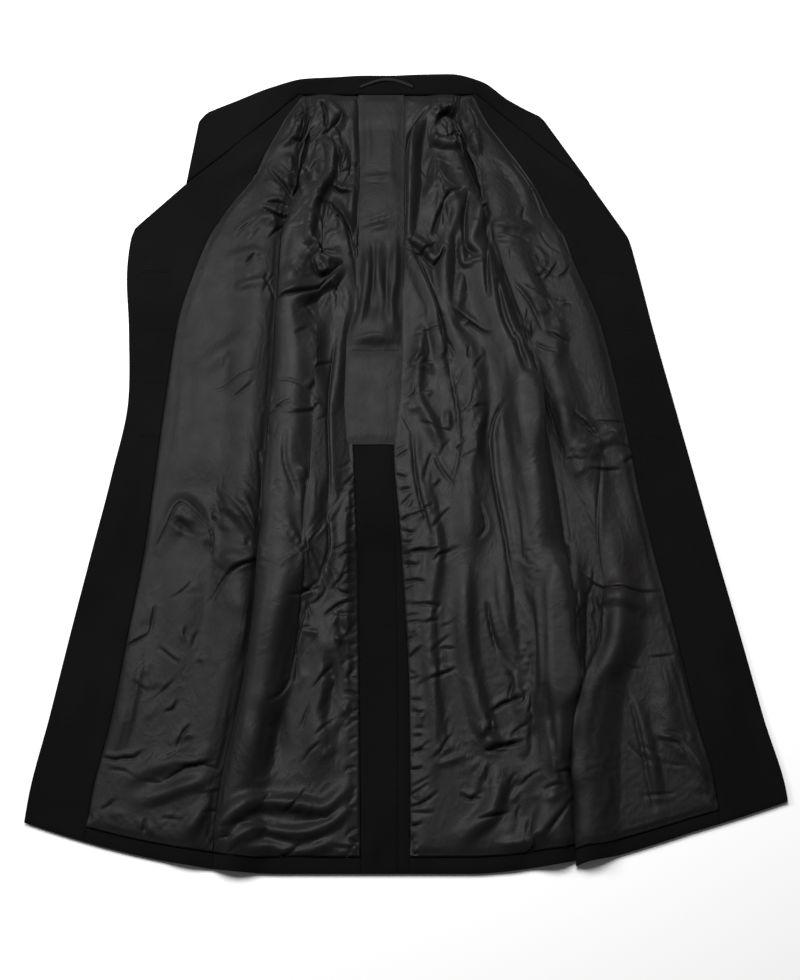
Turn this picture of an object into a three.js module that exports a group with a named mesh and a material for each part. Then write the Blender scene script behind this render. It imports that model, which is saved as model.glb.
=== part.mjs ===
// A naval greatcoat of heavy black wool, laid open on its back with its lining up.
// Millimetres, +Z up. The coat lies on the plane Z = 0 with its hem towards -Y and its collar
// towards +Y. "x" runs across the coat and "up" is the distance above the hem line.
//
// Every panel is one closed wall of cloth. It is laid over the same cloth surface (coatSurface),
// which is flat except over the sleeves, the buttons and the collar fall that lie beneath it, and
// at the soft rolls along the two side seams. A panel on top of another is moved out from it.

import * as THREE from 'three';

// ---------------------------------------------------------------- driving dimensions

const COAT_LENGTH = 1150; // centre back, from the neck seam to the hem
const MIDDLE = { x: 1.4, up: 593.6 }; // the middle of the laid coat
const WOOL = 2.5; // heavy melton
const LINING = 1.2; // satin lining with its slip stitching
const SEAM = 0.3; // space between two pieces that are sewn together
const EASE = 1.2; // the lining floats this far over the wool
const HEM_TURN = 24; // wool turned up inside the hem
const COLLAR_WALL = 5; // top collar, stiffening and under collar
const COLLAR_ROLL = { ends: 2.85, back: 8 }; // radius at which the collar folds over
const COLLAR_SET = 0.6; // the collar's upright edge stands this far from the neck seam
const COLLAR_BED = { x: -27, half: 150, down: 47 }; // the neck lies raised over the tucked fall
const SLEEVE_THICKNESS = 7.5; // a sleeve pressed flat, two walls of wool
const SLEEVE_WALL = 3;
const SLEEVE_CROWN = 1098; // the lower layer of a sleeve starts here, under the armhole
const SLEEVE_MOUTH = 950; // its upper layer is cut back to here
const SLEEVE_CUFF = 480;
const ARMHOLE = { bottom: 955, top: 1092, gape: 8 }; // an open slit, and half its width
const BUTTON_RADIUS = 13;
const BUTTON_THICKNESS = 5;
const BUTTON_INSET = 125; // from the front edge to the button row
const BUTTON_STATIONS = [841, 754, 667, 580]; // up from the hem
const VENT_TOP = 559; // top of the centre back vent
const STAY_TOP = 705; // top of the stay panel over the vent
const BED_MARGIN = 10; // the coat lies raised this far past a sleeve or a button
const BED_SLOPES = { collar: 32, button: 34, sleeve: 44, along: 55 }; // widths of the slopes down

// The laid coat in plan: x of each seam or edge at stations up from the hem.
const PLAN = [
  { up: 0, edgeL: -468, faceL: -392, sideL: -233, sideR: 206, faceR: 382, edgeR: 468 },
  { up: 85, edgeL: -464, faceL: -387, sideL: -229, sideR: 207, faceR: 382, edgeR: 468 },
  { up: 190, edgeL: -448, faceL: -370, sideL: -212, sideR: 209, faceR: 365, edgeR: 449 },
  { up: 300, edgeL: -432, faceL: -358, sideL: -197, sideR: 211, faceR: 348, edgeR: 430 },
  { up: 410, edgeL: -415, faceL: -346, sideL: -191, sideR: 208, faceR: 328, edgeR: 410 },
  { up: 520, edgeL: -398, faceL: -340, sideL: -188, sideR: 198, faceR: 311, edgeR: 391 },
  { up: 630, edgeL: -385, faceL: -334, sideL: -184, sideR: 183, faceR: 297, edgeR: 372 },
  { up: 740, edgeL: -393, faceL: -326, sideL: -182, sideR: 160, faceR: 280, edgeR: 353 },
  { up: 850, edgeL: -404, faceL: -301, sideL: -180, sideR: 132, faceR: 245, edgeR: 336 },
  { up: 897, edgeL: -402, faceL: -286, sideL: -180, sideR: 121, faceR: 233, edgeR: 327 },
  { up: 912, edgeL: -398, faceL: -280, sideL: -178, sideR: 119, faceR: 225, edgeR: 319 },
  { up: 990, edgeL: -328, faceL: -231, sideL: -157, sideR: 107, faceR: 190, edgeR: 277 },
  { up: 1060, edgeL: -255, faceL: -203, sideL: -147, sideR: 90, faceR: 148, edgeR: 203 },
  { up: 1105, edgeL: -208, faceL: -182, sideL: -143, sideR: 82, faceR: 121, edgeR: 156 },
  { up: 1150, edgeL: -163, faceL: -157, sideL: -151, sideR: 87, faceR: 105, edgeR: 110 },
];

// The linings' inner edges: beside the vent facing, then the stay panel, then the centre strip.
// The back linings fold over beside them at foldL and foldR.
const CENTRE = [
  { up: 0, foldL: -78, stripL: -54, stripR: 4, foldR: 26 },
  { up: 190, foldL: -82, stripL: -58, stripR: 4, foldR: 26 },
  { up: 410, foldL: -92, stripL: -64, stripR: -6, foldR: 20 },
  { up: 558, foldL: -103, stripL: -71, stripR: -17, foldR: 18 },
  { up: 560, foldL: -103, stripL: -87, stripR: -2, foldR: 18 },
  { up: 705, foldL: -101, stripL: -86, stripR: -2, foldR: 18 },
  { up: 790, foldL: -86, stripL: -69, stripR: -3, foldR: 15 },
  { up: 1150, foldL: -84, stripL: -69, stripR: -3, foldR: 13 },
];

// The centre back seam of the wool.
const BACK_SEAM = [
  { up: 0, seam: -10 },
  { up: 340, seam: -10 },
  { up: 558, seam: -20 },
  { up: 800, seam: -33 },
  { up: 1150, seam: -33 },
];

// The hem curves up towards the front corners.
const HEM_CURVE = {
  left: { start: -157, reach: 311, rise: 60, power: 1.7 },
  right: { start: 82, reach: 386, rise: 85, power: 1.5 },
};
const HEM_CURVE_FADES = 400; // above this the rows run straight across
const FRONT_OVERHANG = { drop: 7, reach: 140 }; // the right front hangs below the back at its side

// Rolls of cloth beside the side seams. "beside" is the distance from the seam, "half" the half
// width, "lean" how far the crest leans, and "crest" the heights at the stations.
const ROLL_STATIONS = [0, 120, 350, 550, 750, 900, 1000, 1100];
const ROLLS = [
  { seam: 'sideL', beside: 28, half: 31, lean: -9, crest: [9, 15, 20, 22, 20, 14, 8, 4] },
  { seam: 'sideL', beside: -34, half: 32, lean: 4, crest: [4, 7, 9, 9, 8, 6, 3, 0] },
  { seam: 'sideR', beside: -27, half: 30, lean: 6, crest: [8, 13, 17, 20, 18, 12, 8, 4] },
  { seam: 'sideR', beside: 27, half: 30, lean: -10, crest: [14, 20, 17, 10, 8, 8, 5, 2] },
];

// The lining's largest folds: a start, a bend and an end in plan, the half width and the height.
const LINING_FOLDS = [
  { start: [-147, 660], bend: [-165, 423], end: [-181, 197], half: 34, height: 8 },
  { start: [-127, 739], bend: [-115, 613], end: [-117, 480], half: 26, height: 8 },
  { start: [-141, 500], bend: [-120, 416], end: [-143, 340], half: 34, height: 9 },
  { start: [-104, 300], bend: [-111, 209], end: [-106, 110], half: 34, height: 8 },
  { start: [-210, 40], bend: [-160, 74], end: [-75, 72], half: 26, height: 7 },
  { start: [-113, 1070], bend: [-122, 900], end: [-90, 830], half: 24, height: 10 },
  { start: [-78, 1110], bend: [-76, 1012], end: [-82, 900], half: 20, height: 6 },
  { start: [47, 1100], bend: [49, 1012], end: [20, 890], half: 24, height: 9 },
  { start: [61, 958], bend: [59, 854], end: [53, 739], half: 24, height: 7 },
  { start: [91, 735], bend: [88, 568], end: [82, 380], half: 32, height: 9 },
  { start: [73, 364], bend: [82, 261], end: [93, 180], half: 26, height: 9 },
  { start: [130, 360], bend: [141, 235], end: [151, 120], half: 26, height: 9 },
  { start: [138, 700], bend: [146, 538], end: [168, 340], half: 34, height: 7 },
  { start: [29, 330], bend: [33, 209], end: [29, 90], half: 30, height: 6 },
  { start: [66, 44], bend: [114, 66], end: [160, 60], half: 26, height: 7 },
  { start: [-323, 385], bend: [-293, 450], end: [-258, 385], half: 26, height: 7 },
  { start: [-289, 395], bend: [-282, 287], end: [-301, 171], half: 36, height: 5 },
  { start: [-345, 90], bend: [-300, 112], end: [-240, 140], half: 28, height: 6 },
  { start: [236, 260], bend: [240, 159], end: [238, 50], half: 32, height: 7 },
  { start: [296, 520], bend: [304, 437], end: [300, 360], half: 36, height: 5 },
  { start: [169, 930], bend: [173, 821], end: [198, 731], half: 28, height: 5 },
];

// The collar from its left end to its right end: its seam line, its outer line as it lies, how
// far its fall is tucked back under it, and how high its roll stands (0 to 1).
const COLLAR_LINE = [
  { seam: [-329, 991], out: [-313, 1114], tuck: 1, lift: 0 },
  { seam: [-274, 1044], out: [-262, 1139], tuck: 2, lift: 0.12 },
  { seam: [-217, 1099], out: [-206, 1163], tuck: 8, lift: 0.7 },
  { seam: [-164, 1150], out: [-154, 1178], tuck: 26, lift: 1 },
  { seam: [-118, 1150], out: [-106, 1181], tuck: 45, lift: 1 },
  { seam: [-69, 1150], out: [-62, 1184], tuck: 55, lift: 1 },
  { seam: [-25, 1150], out: [-22, 1184], tuck: 55, lift: 1 },
  { seam: [20, 1150], out: [20, 1186], tuck: 55, lift: 1 },
  { seam: [66, 1150], out: [70, 1187], tuck: 45, lift: 1 },
  { seam: [111, 1150], out: [118, 1173], tuck: 20, lift: 1 },
  { seam: [166, 1098], out: [158, 1139], tuck: 4, lift: 0.7 },
  { seam: [223, 1043], out: [186, 1123], tuck: 2, lift: 0.12 },
  { seam: [279, 990], out: [207, 1111], tuck: 1, lift: 0 },
];
const COLLAR_STEPS = { stand: 5, roll: 4, fall: 3 };
const COLLAR_STEPS_BETWEEN = 2;

// The hanger loop lies on the collar stand: where along the collar, and how far from the seam.
const HANGER = { from: 4.95, to: 6.85, ends: 11, middle: 21, width: 4, thickness: 1.5 };

// Sleeves, pulled down flat under the back.
const SLEEVES = {
  L: { armX: -135, cuffX: -128, armHalf: 92, cuffHalf: 78, crownHalf: 58 },
  R: { armX: 68, cuffX: 62, armHalf: 92, cuffHalf: 78, crownHalf: 58 },
};

// Rows of the panels, up from the hem.
const ROWS = [
  0, 24, 80, 135, 190, 245, 300, 355, 410, 460, 510, 558, 560, 608, 656, 705, 755, 805, 850, 897,
  912, 950, 990, 1025, 1060, 1105, 1130, 1150,
];
const FACING_COLUMNS = 3;
const FRONT_COLUMNS = 8;
const BACK_COLUMNS = 8;
const CENTRE_COLUMNS = 3;

// ---------------------------------------------------------------- finishes

const finish = (color, roughness) =>
  new THREE.MeshStandardMaterial({ color, roughness, metalness: 0 });
const FINISHES = {
  wool: finish(0x141416, 0.95),
  lining: finish(0x3a3738, 0.5),
  strap: finish(0x1c1c1e, 0.7),
  button: new THREE.MeshStandardMaterial({ color: 0xb08a3e, roughness: 0.35, metalness: 0.9 }),
};

// ---------------------------------------------------------------- small helpers

const lerp = THREE.MathUtils.lerp;

// A value read from a table of stations, straight between them.
function readTable(table, key, name, at) {
  let k = 1;
  while (k < table.length - 1 && at > table[k][key]) k += 1;
  const low = table[k - 1];
  const high = table[k];
  const t = THREE.MathUtils.clamp((at - low[key]) / (high[key] - low[key]), 0, 1);
  return lerp(low[name], high[name], t);
}

// A rounded ridge, 1 at the middle and 0 from "half" outwards.
function ridge(distance, half) {
  const t = Math.abs(distance) / half;
  return t < 1 ? Math.cos((Math.PI / 2) * t) ** 2 : 0;
}

// A raised bed, 1 within "half" and sloping to 0 over "slope" outside it.
function bed(distance, half, slope) {
  const t = THREE.MathUtils.clamp((Math.abs(distance) - half) / slope, 0, 1);
  return 1 - t * t * (3 - 2 * t);
}

// Lines of the plan by name, as functions of the distance up from the hem.
const planLine = (name) => (up) => readTable(PLAN, 'up', name, up);
const edgeL = planLine('edgeL');
const faceL = planLine('faceL');
const sideL = planLine('sideL');
const sideR = planLine('sideR');
const faceR = planLine('faceR');
const edgeR = planLine('edgeR');
const centreLine = (name) => (up) => readTable(CENTRE, 'up', name, up);
const foldL = centreLine('foldL');
const stripL = centreLine('stripL');
const stripR = centreLine('stripR');
const foldR = centreLine('foldR');
const backSeam = (up) => readTable(BACK_SEAM, 'up', 'seam', up);

// Half the gape of an armhole, between the underarm and the shoulder.
function gape(up) {
  const t = (up - ARMHOLE.bottom) / (ARMHOLE.top - ARMHOLE.bottom);
  return t > 0 && t < 1 ? ARMHOLE.gape * Math.sin(Math.PI * t) : 0;
}
const frontSideL = (up) => sideL(up) - gape(up);
const backSideL = (up) => sideL(up) + gape(up);
const backSideR = (up) => sideR(up) - gape(up);
const frontSideR = (up) => sideR(up) + gape(up);

// ---------------------------------------------------------------- the cloth surface

// How far a sleeve lies under the coat at a point: its full thickness, then one wall near the
// crown, fading out around it.
function sleeveBed(sleeve, x, up) {
  const t = THREE.MathUtils.clamp((SLEEVE_MOUTH - up) / (SLEEVE_MOUTH - SLEEVE_CUFF), 0, 1);
  const half = lerp(sleeve.armHalf, sleeve.cuffHalf, t);
  const middle = lerp(sleeve.armX, sleeve.cuffX, t);
  const across = bed(x - middle, half + BED_MARGIN, BED_SLOPES.sleeve);
  const alongMiddle = (SLEEVE_CROWN + SLEEVE_CUFF) / 2;
  const alongHalf = (SLEEVE_CROWN - SLEEVE_CUFF) / 2 + 2.5 * BED_MARGIN;
  const along = bed(up - alongMiddle, alongHalf, BED_SLOPES.along);
  const oneWall = THREE.MathUtils.smoothstep(up, SLEEVE_MOUTH + 2, SLEEVE_MOUTH + 60);
  const top = lerp(SLEEVE_THICKNESS, SLEEVE_WALL, oneWall) + 2 * SEAM;
  return top * across * along;
}

// The coat lies over its button rows.
function buttonBed(x, up) {
  const middle = (BUTTON_STATIONS[0] + BUTTON_STATIONS[3]) / 2;
  const halfRow = (BUTTON_STATIONS[0] - BUTTON_STATIONS[3]) / 2;
  const along = bed(up - middle, halfRow + BUTTON_RADIUS + 2.5 * BED_MARGIN, BED_SLOPES.along);
  const half = BUTTON_RADIUS + BED_MARGIN;
  const left = bed(x - edgeL(up) - BUTTON_INSET, half, BED_SLOPES.button);
  const right = bed(x - edgeR(up) + BUTTON_INSET, half, BED_SLOPES.button);
  return (BUTTON_THICKNESS + 2 * SEAM) * along * Math.max(left, right);
}

// The collar's fall lies under the neck.
function collarBed(x, up) {
  const along = bed(up - COAT_LENGTH, COLLAR_BED.down, BED_SLOPES.collar);
  return (COLLAR_WALL + 2 * SEAM) * along * bed(x - COLLAR_BED.x, COLLAR_BED.half, BED_SLOPES.collar);
}

// The underside of the coat's wool at a place in plan: the rolls raise it and lean sideways.
function coatSurface(x, up) {
  let z = Math.max(
    sleeveBed(SLEEVES.L, x, up), sleeveBed(SLEEVES.R, x, up), buttonBed(x, up), collarBed(x, up),
  );
  let shift = 0;
  for (const roll of ROLLS) {
    const hump = ridge(x - readTable(PLAN, 'up', roll.seam, up) - roll.beside, roll.half);
    if (hump === 0) continue;
    const stations = ROLL_STATIONS.map((station, k) => ({ station, crest: roll.crest[k] }));
    const crest = readTable(stations, 'station', 'crest', up);
    z += crest * hump;
    shift += roll.lean * hump * (crest / Math.max(...roll.crest));
  }
  return new THREE.Vector3(x + shift, up, z);
}

// A point moved out of the coat's surface by "lift". It moves along the surface's normal with
// half its sideways part, so that walls stay whole in the valleys beside the rolls.
function clothPoint(x, up, lift) {
  const step = 1;
  const point = coatSurface(x, up);
  const across = coatSurface(x + step, up).sub(coatSurface(x - step, up));
  const along = coatSurface(x, up + step).sub(coatSurface(x, up - step));
  const out = across.cross(along).normalize();
  out.set(out.x / 2, out.y / 2, out.z).normalize();
  return point.addScaledVector(out, lift);
}

// How far the lining's folds lift it above its ease. The side seams hold it down.
const foldCurves = LINING_FOLDS.map((fold) => ({
  ...fold,
  points: new THREE.QuadraticBezierCurve(
    new THREE.Vector2(...fold.start), new THREE.Vector2(...fold.bend), new THREE.Vector2(...fold.end),
  ).getPoints(16),
}));
function foldLift(x, up) {
  let lift = 0;
  const caught = Math.max(ridge(x - sideL(up), 24), ridge(x - sideR(up), 24));
  for (const { points, half, height } of foldCurves) {
    let nearest = Infinity;
    let at = 0;
    points.forEach((p, k) => {
      const d = Math.hypot(x - p.x, up - p.y);
      if (d < nearest) {
        nearest = d;
        at = k / (points.length - 1);
      }
    });
    lift += height * ridge(nearest, half) * Math.sin(Math.PI * lerp(0.12, 0.88, at));
  }
  return lift * (1 - caught);
}

// The hem curve at x, and how much of it a row still follows.
function hemRise(x) {
  const { left, right } = HEM_CURVE;
  if (x < left.start) return left.rise * ((left.start - x) / left.reach) ** left.power;
  if (x > right.start) return right.rise * ((x - right.start) / right.reach) ** right.power;
  return 0;
}
function rowHeight(x, row, overhang) {
  const follow = Math.max(0, 1 - row / HEM_CURVE_FADES);
  const past = THREE.MathUtils.clamp(1 - (x - sideR(0)) / FRONT_OVERHANG.reach, 0, 1);
  const drop = overhang ? FRONT_OVERHANG.drop * past : 0;
  return row + (hemRise(x) - drop) * follow;
}

// ---------------------------------------------------------------- walls of cloth

// A closed wall from a grid of points: pointAt(i, j, side), side 0 under and 1 over.
function wall(columns, rows, pointAt) {
  const positions = [];
  for (const side of [0, 1]) {
    for (let j = 0; j <= rows; j += 1) {
      for (let i = 0; i <= columns; i += 1) {
        const p = pointAt(i, j, side);
        positions.push(p.x, p.y, p.z);
      }
    }
  }
  const layer = (columns + 1) * (rows + 1);
  const id = (i, j, side) => side * layer + j * (columns + 1) + i;
  const index = [];
  const quad = (a, b, c, d) => index.push(a, b, c, a, c, d);
  for (let j = 0; j < rows; j += 1) {
    for (let i = 0; i < columns; i += 1) {
      quad(id(i, j, 1), id(i + 1, j, 1), id(i + 1, j + 1, 1), id(i, j + 1, 1));
      index.push(id(i, j, 0), id(i + 1, j + 1, 0), id(i + 1, j, 0));
      index.push(id(i, j, 0), id(i, j + 1, 0), id(i + 1, j + 1, 0));
    }
  }
  for (let i = 0; i < columns; i += 1) {
    quad(id(i, 0, 0), id(i + 1, 0, 0), id(i + 1, 0, 1), id(i, 0, 1));
    quad(id(i + 1, rows, 0), id(i, rows, 0), id(i, rows, 1), id(i + 1, rows, 1));
  }
  for (let j = 0; j < rows; j += 1) {
    quad(id(0, j + 1, 0), id(0, j, 0), id(0, j, 1), id(0, j + 1, 1));
    quad(id(columns, j, 0), id(columns, j + 1, 0), id(columns, j + 1, 1), id(columns, j, 1));
  }
  const geometry = new THREE.BufferGeometry();
  geometry.setAttribute('position', new THREE.Float32BufferAttribute(positions, 3));
  geometry.setIndex(index);
  return geometry;
}

// A panel between two lines of the plan. "bands" is a list of [line, line, columns] from left to
// right, so that a shell has the same columns as the facing and the lining on it.
function panel({ bands, bottom = 0, top = COAT_LENGTH, under, thickness, overhang = false }) {
  const rows = ROWS.filter((row) => row > bottom && row < top);
  rows.unshift(bottom);
  rows.push(top);
  const columns = [];
  bands.forEach(([from, to, count], band) => {
    for (let k = band === 0 ? 0 : 1; k <= count; k += 1) columns.push({ from, to, t: k / count });
  });
  const last = columns.length - 1;
  const pointAt = (i, j, side) => {
    const { from, to, t } = columns[i];
    const rough = lerp(from(rows[j]), to(rows[j]), t);
    let up = rowHeight(rough, rows[j], overhang);
    let x = lerp(from(up), to(up), t);
    if (i === 0) x += SEAM / 2;
    if (i === last) x -= SEAM / 2;
    if (j === 0) up += SEAM / 2;
    if (j === rows.length - 1) up -= SEAM / 2;
    return clothPoint(x, up, under(x, up) + side * thickness);
  };
  return wall(last, rows.length - 1, pointAt);
}

const onFloor = () => 0;
const onWool = () => WOOL + SEAM;
const overWool = (x, up) => WOOL + EASE + foldLift(x, up);

// ---------------------------------------------------------------- collar

// A place along the collar, between two of its stations: its seam and the way out from it, how
// far the stand reaches, the radius of the roll, the tuck of the fall, and the two heights.
function collarStation(s) {
  const k = Math.min(Math.floor(s), COLLAR_LINE.length - 2);
  const a = COLLAR_LINE[k];
  const b = COLLAR_LINE[k + 1];
  const t = s - k;
  const seam = new THREE.Vector2(...a.seam).lerp(new THREE.Vector2(...b.seam), t);
  const away = new THREE.Vector2(...a.out).lerp(new THREE.Vector2(...b.out), t).sub(seam);
  const lift = lerp(a.lift, b.lift, t);
  const radius = lerp(COLLAR_ROLL.ends, COLLAR_ROLL.back, lift);
  const half = COLLAR_WALL / 2;
  return {
    seam,
    reach: away.length() - radius - half,
    away: away.normalize(),
    radius,
    tuck: lerp(a.tuck, b.tuck, t),
    seamZ: half + lift * (COLLAR_WALL + 2 * SEAM),
    rollZ: half + 2 * radius,
  };
}

// A point of the collar at distance d from its seam, "off" outside the middle of its wall. It
// runs out over the stand, round the roll, and back along the floor.
function collarPoint(s, d, off) {
  const { seam, away, reach, radius, seamZ, rollZ } = collarStation(s);
  const angle = THREE.MathUtils.clamp((d - reach) / radius, 0, Math.PI);
  const back = Math.max(0, d - reach - Math.PI * radius);
  const run = Math.min(d, reach);
  const q = run + radius * Math.sin(angle) - back;
  const z = lerp(seamZ, rollZ, run / reach) - radius * (1 - Math.cos(angle));
  const upright = THREE.MathUtils.clamp((d - COLLAR_SET) / (2 * COLLAR_WALL), 0, 1);
  const slope = Math.atan2(rollZ - seamZ, reach);
  const tilt = angle === 0 ? -slope * upright * (1 - run / reach) : angle;
  const qOff = q + off * Math.sin(tilt);
  return new THREE.Vector3(seam.x + away.x * qOff, seam.y + away.y * qOff, z + off * Math.cos(tilt));
}

function collarWall() {
  const along = (COLLAR_LINE.length - 1) * COLLAR_STEPS_BETWEEN;
  const { stand, roll, fall } = COLLAR_STEPS;
  return wall(along, stand + roll + fall, (i, j, side) => {
    const s = i / COLLAR_STEPS_BETWEEN;
    const { reach, radius, tuck } = collarStation(s);
    const turned = THREE.MathUtils.clamp((j - stand) / roll, 0, 1);
    const tucked = THREE.MathUtils.clamp((j - stand - roll) / fall, 0, 1);
    const stood = lerp(COLLAR_SET, reach, Math.min(1, j / stand));
    const d = stood + Math.PI * radius * turned + tuck * tucked;
    return collarPoint(s, d, (side - 0.5) * COLLAR_WALL);
  });
}

// The hanger loop is a strap in a flat arch on the stand.
function hangerWall() {
  const steps = 10;
  const rest = COLLAR_WALL / 2 + SEAM;
  return wall(steps, 1, (i, j, side) => {
    const t = i / steps;
    const middle = lerp(HANGER.ends, HANGER.middle, Math.sin(Math.PI * t));
    const s = lerp(HANGER.from, HANGER.to, t);
    return collarPoint(s, middle + (j - 0.5) * HANGER.width, rest + side * HANGER.thickness);
  });
}

// ---------------------------------------------------------------- sleeves

// A ring of a flattened tube: a stadium of the given half width and half height, in 16 points.
function stadium(halfWidth, halfHeight) {
  const ring = [];
  const straight = halfWidth - halfHeight;
  for (const end of [1, -1]) {
    for (let k = 0; k < 5; k += 1) ring.push([end * straight * (1 - (2 * k) / 5), end * halfHeight]);
    for (let k = 0; k < 3; k += 1) {
      const angle = (Math.PI * k) / 3;
      ring.push([-end * (straight + halfHeight * Math.sin(angle)), end * halfHeight * Math.cos(angle)]);
    }
  }
  return ring;
}

// A sleeve from its mouth under the armhole to its cuff. At the mouth the upper wall is cut back
// and the lower wall runs on to the crown, as a set-in sleeve does.
function sleeveWall(sleeve) {
  const half = SLEEVE_THICKNESS / 2;
  const rings = [
    { upper: SLEEVE_MOUTH, lower: SLEEVE_CROWN, narrow: 1 },
    { upper: SLEEVE_MOUTH - 8, lower: 1030, narrow: 0.25 },
    { upper: SLEEVE_MOUTH - 16, lower: SLEEVE_MOUTH - 16, narrow: 0 },
    { upper: 800, lower: 800, narrow: 0 },
    { upper: 640, lower: 640, narrow: 0 },
    { upper: SLEEVE_CUFF, lower: SLEEVE_CUFF, narrow: 0 },
  ];
  const shells = [0, SLEEVE_WALL].map((inset) =>
    rings.map(({ upper, lower, narrow }) => {
      const t = THREE.MathUtils.clamp((SLEEVE_MOUTH - upper) / (SLEEVE_MOUTH - SLEEVE_CUFF), 0, 1);
      const width = lerp(lerp(sleeve.armHalf, sleeve.cuffHalf, t), sleeve.crownHalf, narrow);
      const middle = lerp(sleeve.armX, sleeve.cuffX, t);
      return stadium(width - inset, half - inset).map(([x, z]) => {
        const height = Math.min(1, 2 * (z / (half - inset) + 1));
        return [middle + x, lerp(lower, upper, height), half + z];
      });
    }),
  );
  const count = shells[0][0].length;
  const positions = shells.flat(3);
  const id = (shell, ring, k) => (shell * rings.length + ring) * count + (k % count);
  const index = [];
  const quad = (a, b, c, d) => index.push(a, b, c, a, c, d);
  const last = rings.length - 1;
  for (let k = 0; k < count; k += 1) {
    for (let r = 0; r < last; r += 1) {
      quad(id(0, r, k), id(0, r, k + 1), id(0, r + 1, k + 1), id(0, r + 1, k));
      quad(id(1, r, k + 1), id(1, r, k), id(1, r + 1, k), id(1, r + 1, k + 1));
    }
    quad(id(0, 0, k + 1), id(0, 0, k), id(1, 0, k), id(1, 0, k + 1));
    quad(id(0, last, k), id(0, last, k + 1), id(1, last, k + 1), id(1, last, k));
  }
  const geometry = new THREE.BufferGeometry();
  geometry.setAttribute('position', new THREE.Float32BufferAttribute(positions, 3));
  geometry.setIndex(index);
  return geometry;
}

// ---------------------------------------------------------------- buttons

// A plain domed button, its face down and its flat back up.
function buttonSolid() {
  const face = 0.55 * BUTTON_RADIUS;
  const profile = [
    new THREE.Vector2(0, 0),
    new THREE.Vector2(face, 0),
    new THREE.Vector2(0.85 * BUTTON_RADIUS, 1.2),
    new THREE.Vector2(BUTTON_RADIUS, 3),
    new THREE.Vector2(BUTTON_RADIUS, BUTTON_THICKNESS - 0.6),
    new THREE.Vector2(BUTTON_RADIUS - 0.8, BUTTON_THICKNESS),
    new THREE.Vector2(0, BUTTON_THICKNESS),
  ];
  return new THREE.LatheGeometry(profile, 14).rotateX(Math.PI / 2);
}

// ---------------------------------------------------------------- the coat

const coat = new THREE.Group();
coat.position.set(-MIDDLE.x, -MIDDLE.up, 0);

function add(name, geometry, material) {
  const mesh = new THREE.Mesh(geometry, material);
  mesh.name = name;
  coat.add(mesh);
  return mesh;
}

// The wool shell: two fronts and two halves of the back.
const shell = (bands, overhang) => panel({ bands, overhang, under: onFloor, thickness: WOOL });
const frontBandsL = [[edgeL, faceL, FACING_COLUMNS], [faceL, frontSideL, FRONT_COLUMNS]];
const frontBandsR = [[frontSideR, faceR, FRONT_COLUMNS], [faceR, edgeR, FACING_COLUMNS]];
const liningBandsL = [[backSideL, foldL, BACK_COLUMNS], [foldL, stripL, 1]];
const liningBandsR = [[stripR, foldR, 1], [foldR, backSideR, BACK_COLUMNS]];
const backBandsL = [...liningBandsL, [stripL, backSeam, CENTRE_COLUMNS]];
const backBandsR = [[backSeam, stripR, 1], ...liningBandsR];
add('front_left', shell(frontBandsL, false), FINISHES.wool);
add('front_right', shell(frontBandsR, true), FINISHES.wool);
add('back_left', shell(backBandsL, false), FINISHES.wool);
add('back_right', shell(backBandsR, false), FINISHES.wool);

// Facings down both front edges, with the lapels.
const woolOnWool = { under: onWool, thickness: WOOL };
add('facing_left', panel({ bands: [frontBandsL[0]], ...woolOnWool }), FINISHES.wool);
add('facing_right', panel({ bands: [frontBandsR[1]], ...woolOnWool, overhang: true }), FINISHES.wool);

// The hem turned up inside.
const hemTurn = (bands, overhang) => panel({ bands, top: HEM_TURN, ...woolOnWool, overhang });
add('hem_front_left', hemTurn([frontBandsL[1]], false), FINISHES.wool);
add('hem_front_right', hemTurn([frontBandsR[0]], true), FINISHES.wool);
add('hem_back_left', hemTurn(liningBandsL, false), FINISHES.wool);
add('hem_back_right', hemTurn(liningBandsR, false), FINISHES.wool);

// The vent: its facing ends at the centre back seam, and the edge of the underlap shows past it.
const belowStay = (line) => (up) => line(Math.min(up, VENT_TOP - 1));
const ventPiece = (from, to, count) =>
  panel({ bands: [[belowStay(from), belowStay(to), count]], top: VENT_TOP, ...woolOnWool });
add('vent_facing', ventPiece(stripL, backSeam, CENTRE_COLUMNS), FINISHES.wool);
add('vent_underlap', ventPiece(backSeam, stripR, 1), FINISHES.wool);

// The lining.
const lining = (bands, bottom, top, overhang) =>
  panel({ bands, bottom, top, under: overWool, thickness: LINING, overhang });
const centreBands = [[stripL, stripR, CENTRE_COLUMNS]];
add('lining_front_left', lining([frontBandsL[1]], HEM_TURN, COAT_LENGTH, false), FINISHES.lining);
add('lining_front_right', lining([frontBandsR[0]], HEM_TURN, COAT_LENGTH, true), FINISHES.lining);
add('lining_back_left', lining(liningBandsL, HEM_TURN, COAT_LENGTH, false), FINISHES.lining);
add('lining_back_right', lining(liningBandsR, HEM_TURN, COAT_LENGTH, false), FINISHES.lining);
add('vent_stay', lining(centreBands, VENT_TOP + 1, STAY_TOP, false), FINISHES.lining);
add('centre_strip', lining(centreBands, STAY_TOP, COAT_LENGTH, false), FINISHES.lining);

// Collar, hanger loop and sleeves.
add('collar', collarWall(), FINISHES.wool);
add('hanger_loop', hangerWall(), FINISHES.strap);
add('sleeve_left', sleeveWall(SLEEVES.L), FINISHES.wool);
add('sleeve_right', sleeveWall(SLEEVES.R), FINISHES.wool);

// Buttons, in two rows on the outside of the fronts.
const rowsOfButtons = {
  left: (up) => edgeL(up) + BUTTON_INSET,
  right: (up) => edgeR(up) - BUTTON_INSET,
};
for (const [side, rowX] of Object.entries(rowsOfButtons)) {
  BUTTON_STATIONS.forEach((up, k) => {
    const button = add(`button_${side}_${k + 1}`, buttonSolid(), FINISHES.button);
    button.position.set(rowX(up), up, 0);
  });
}

export default coat;
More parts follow.
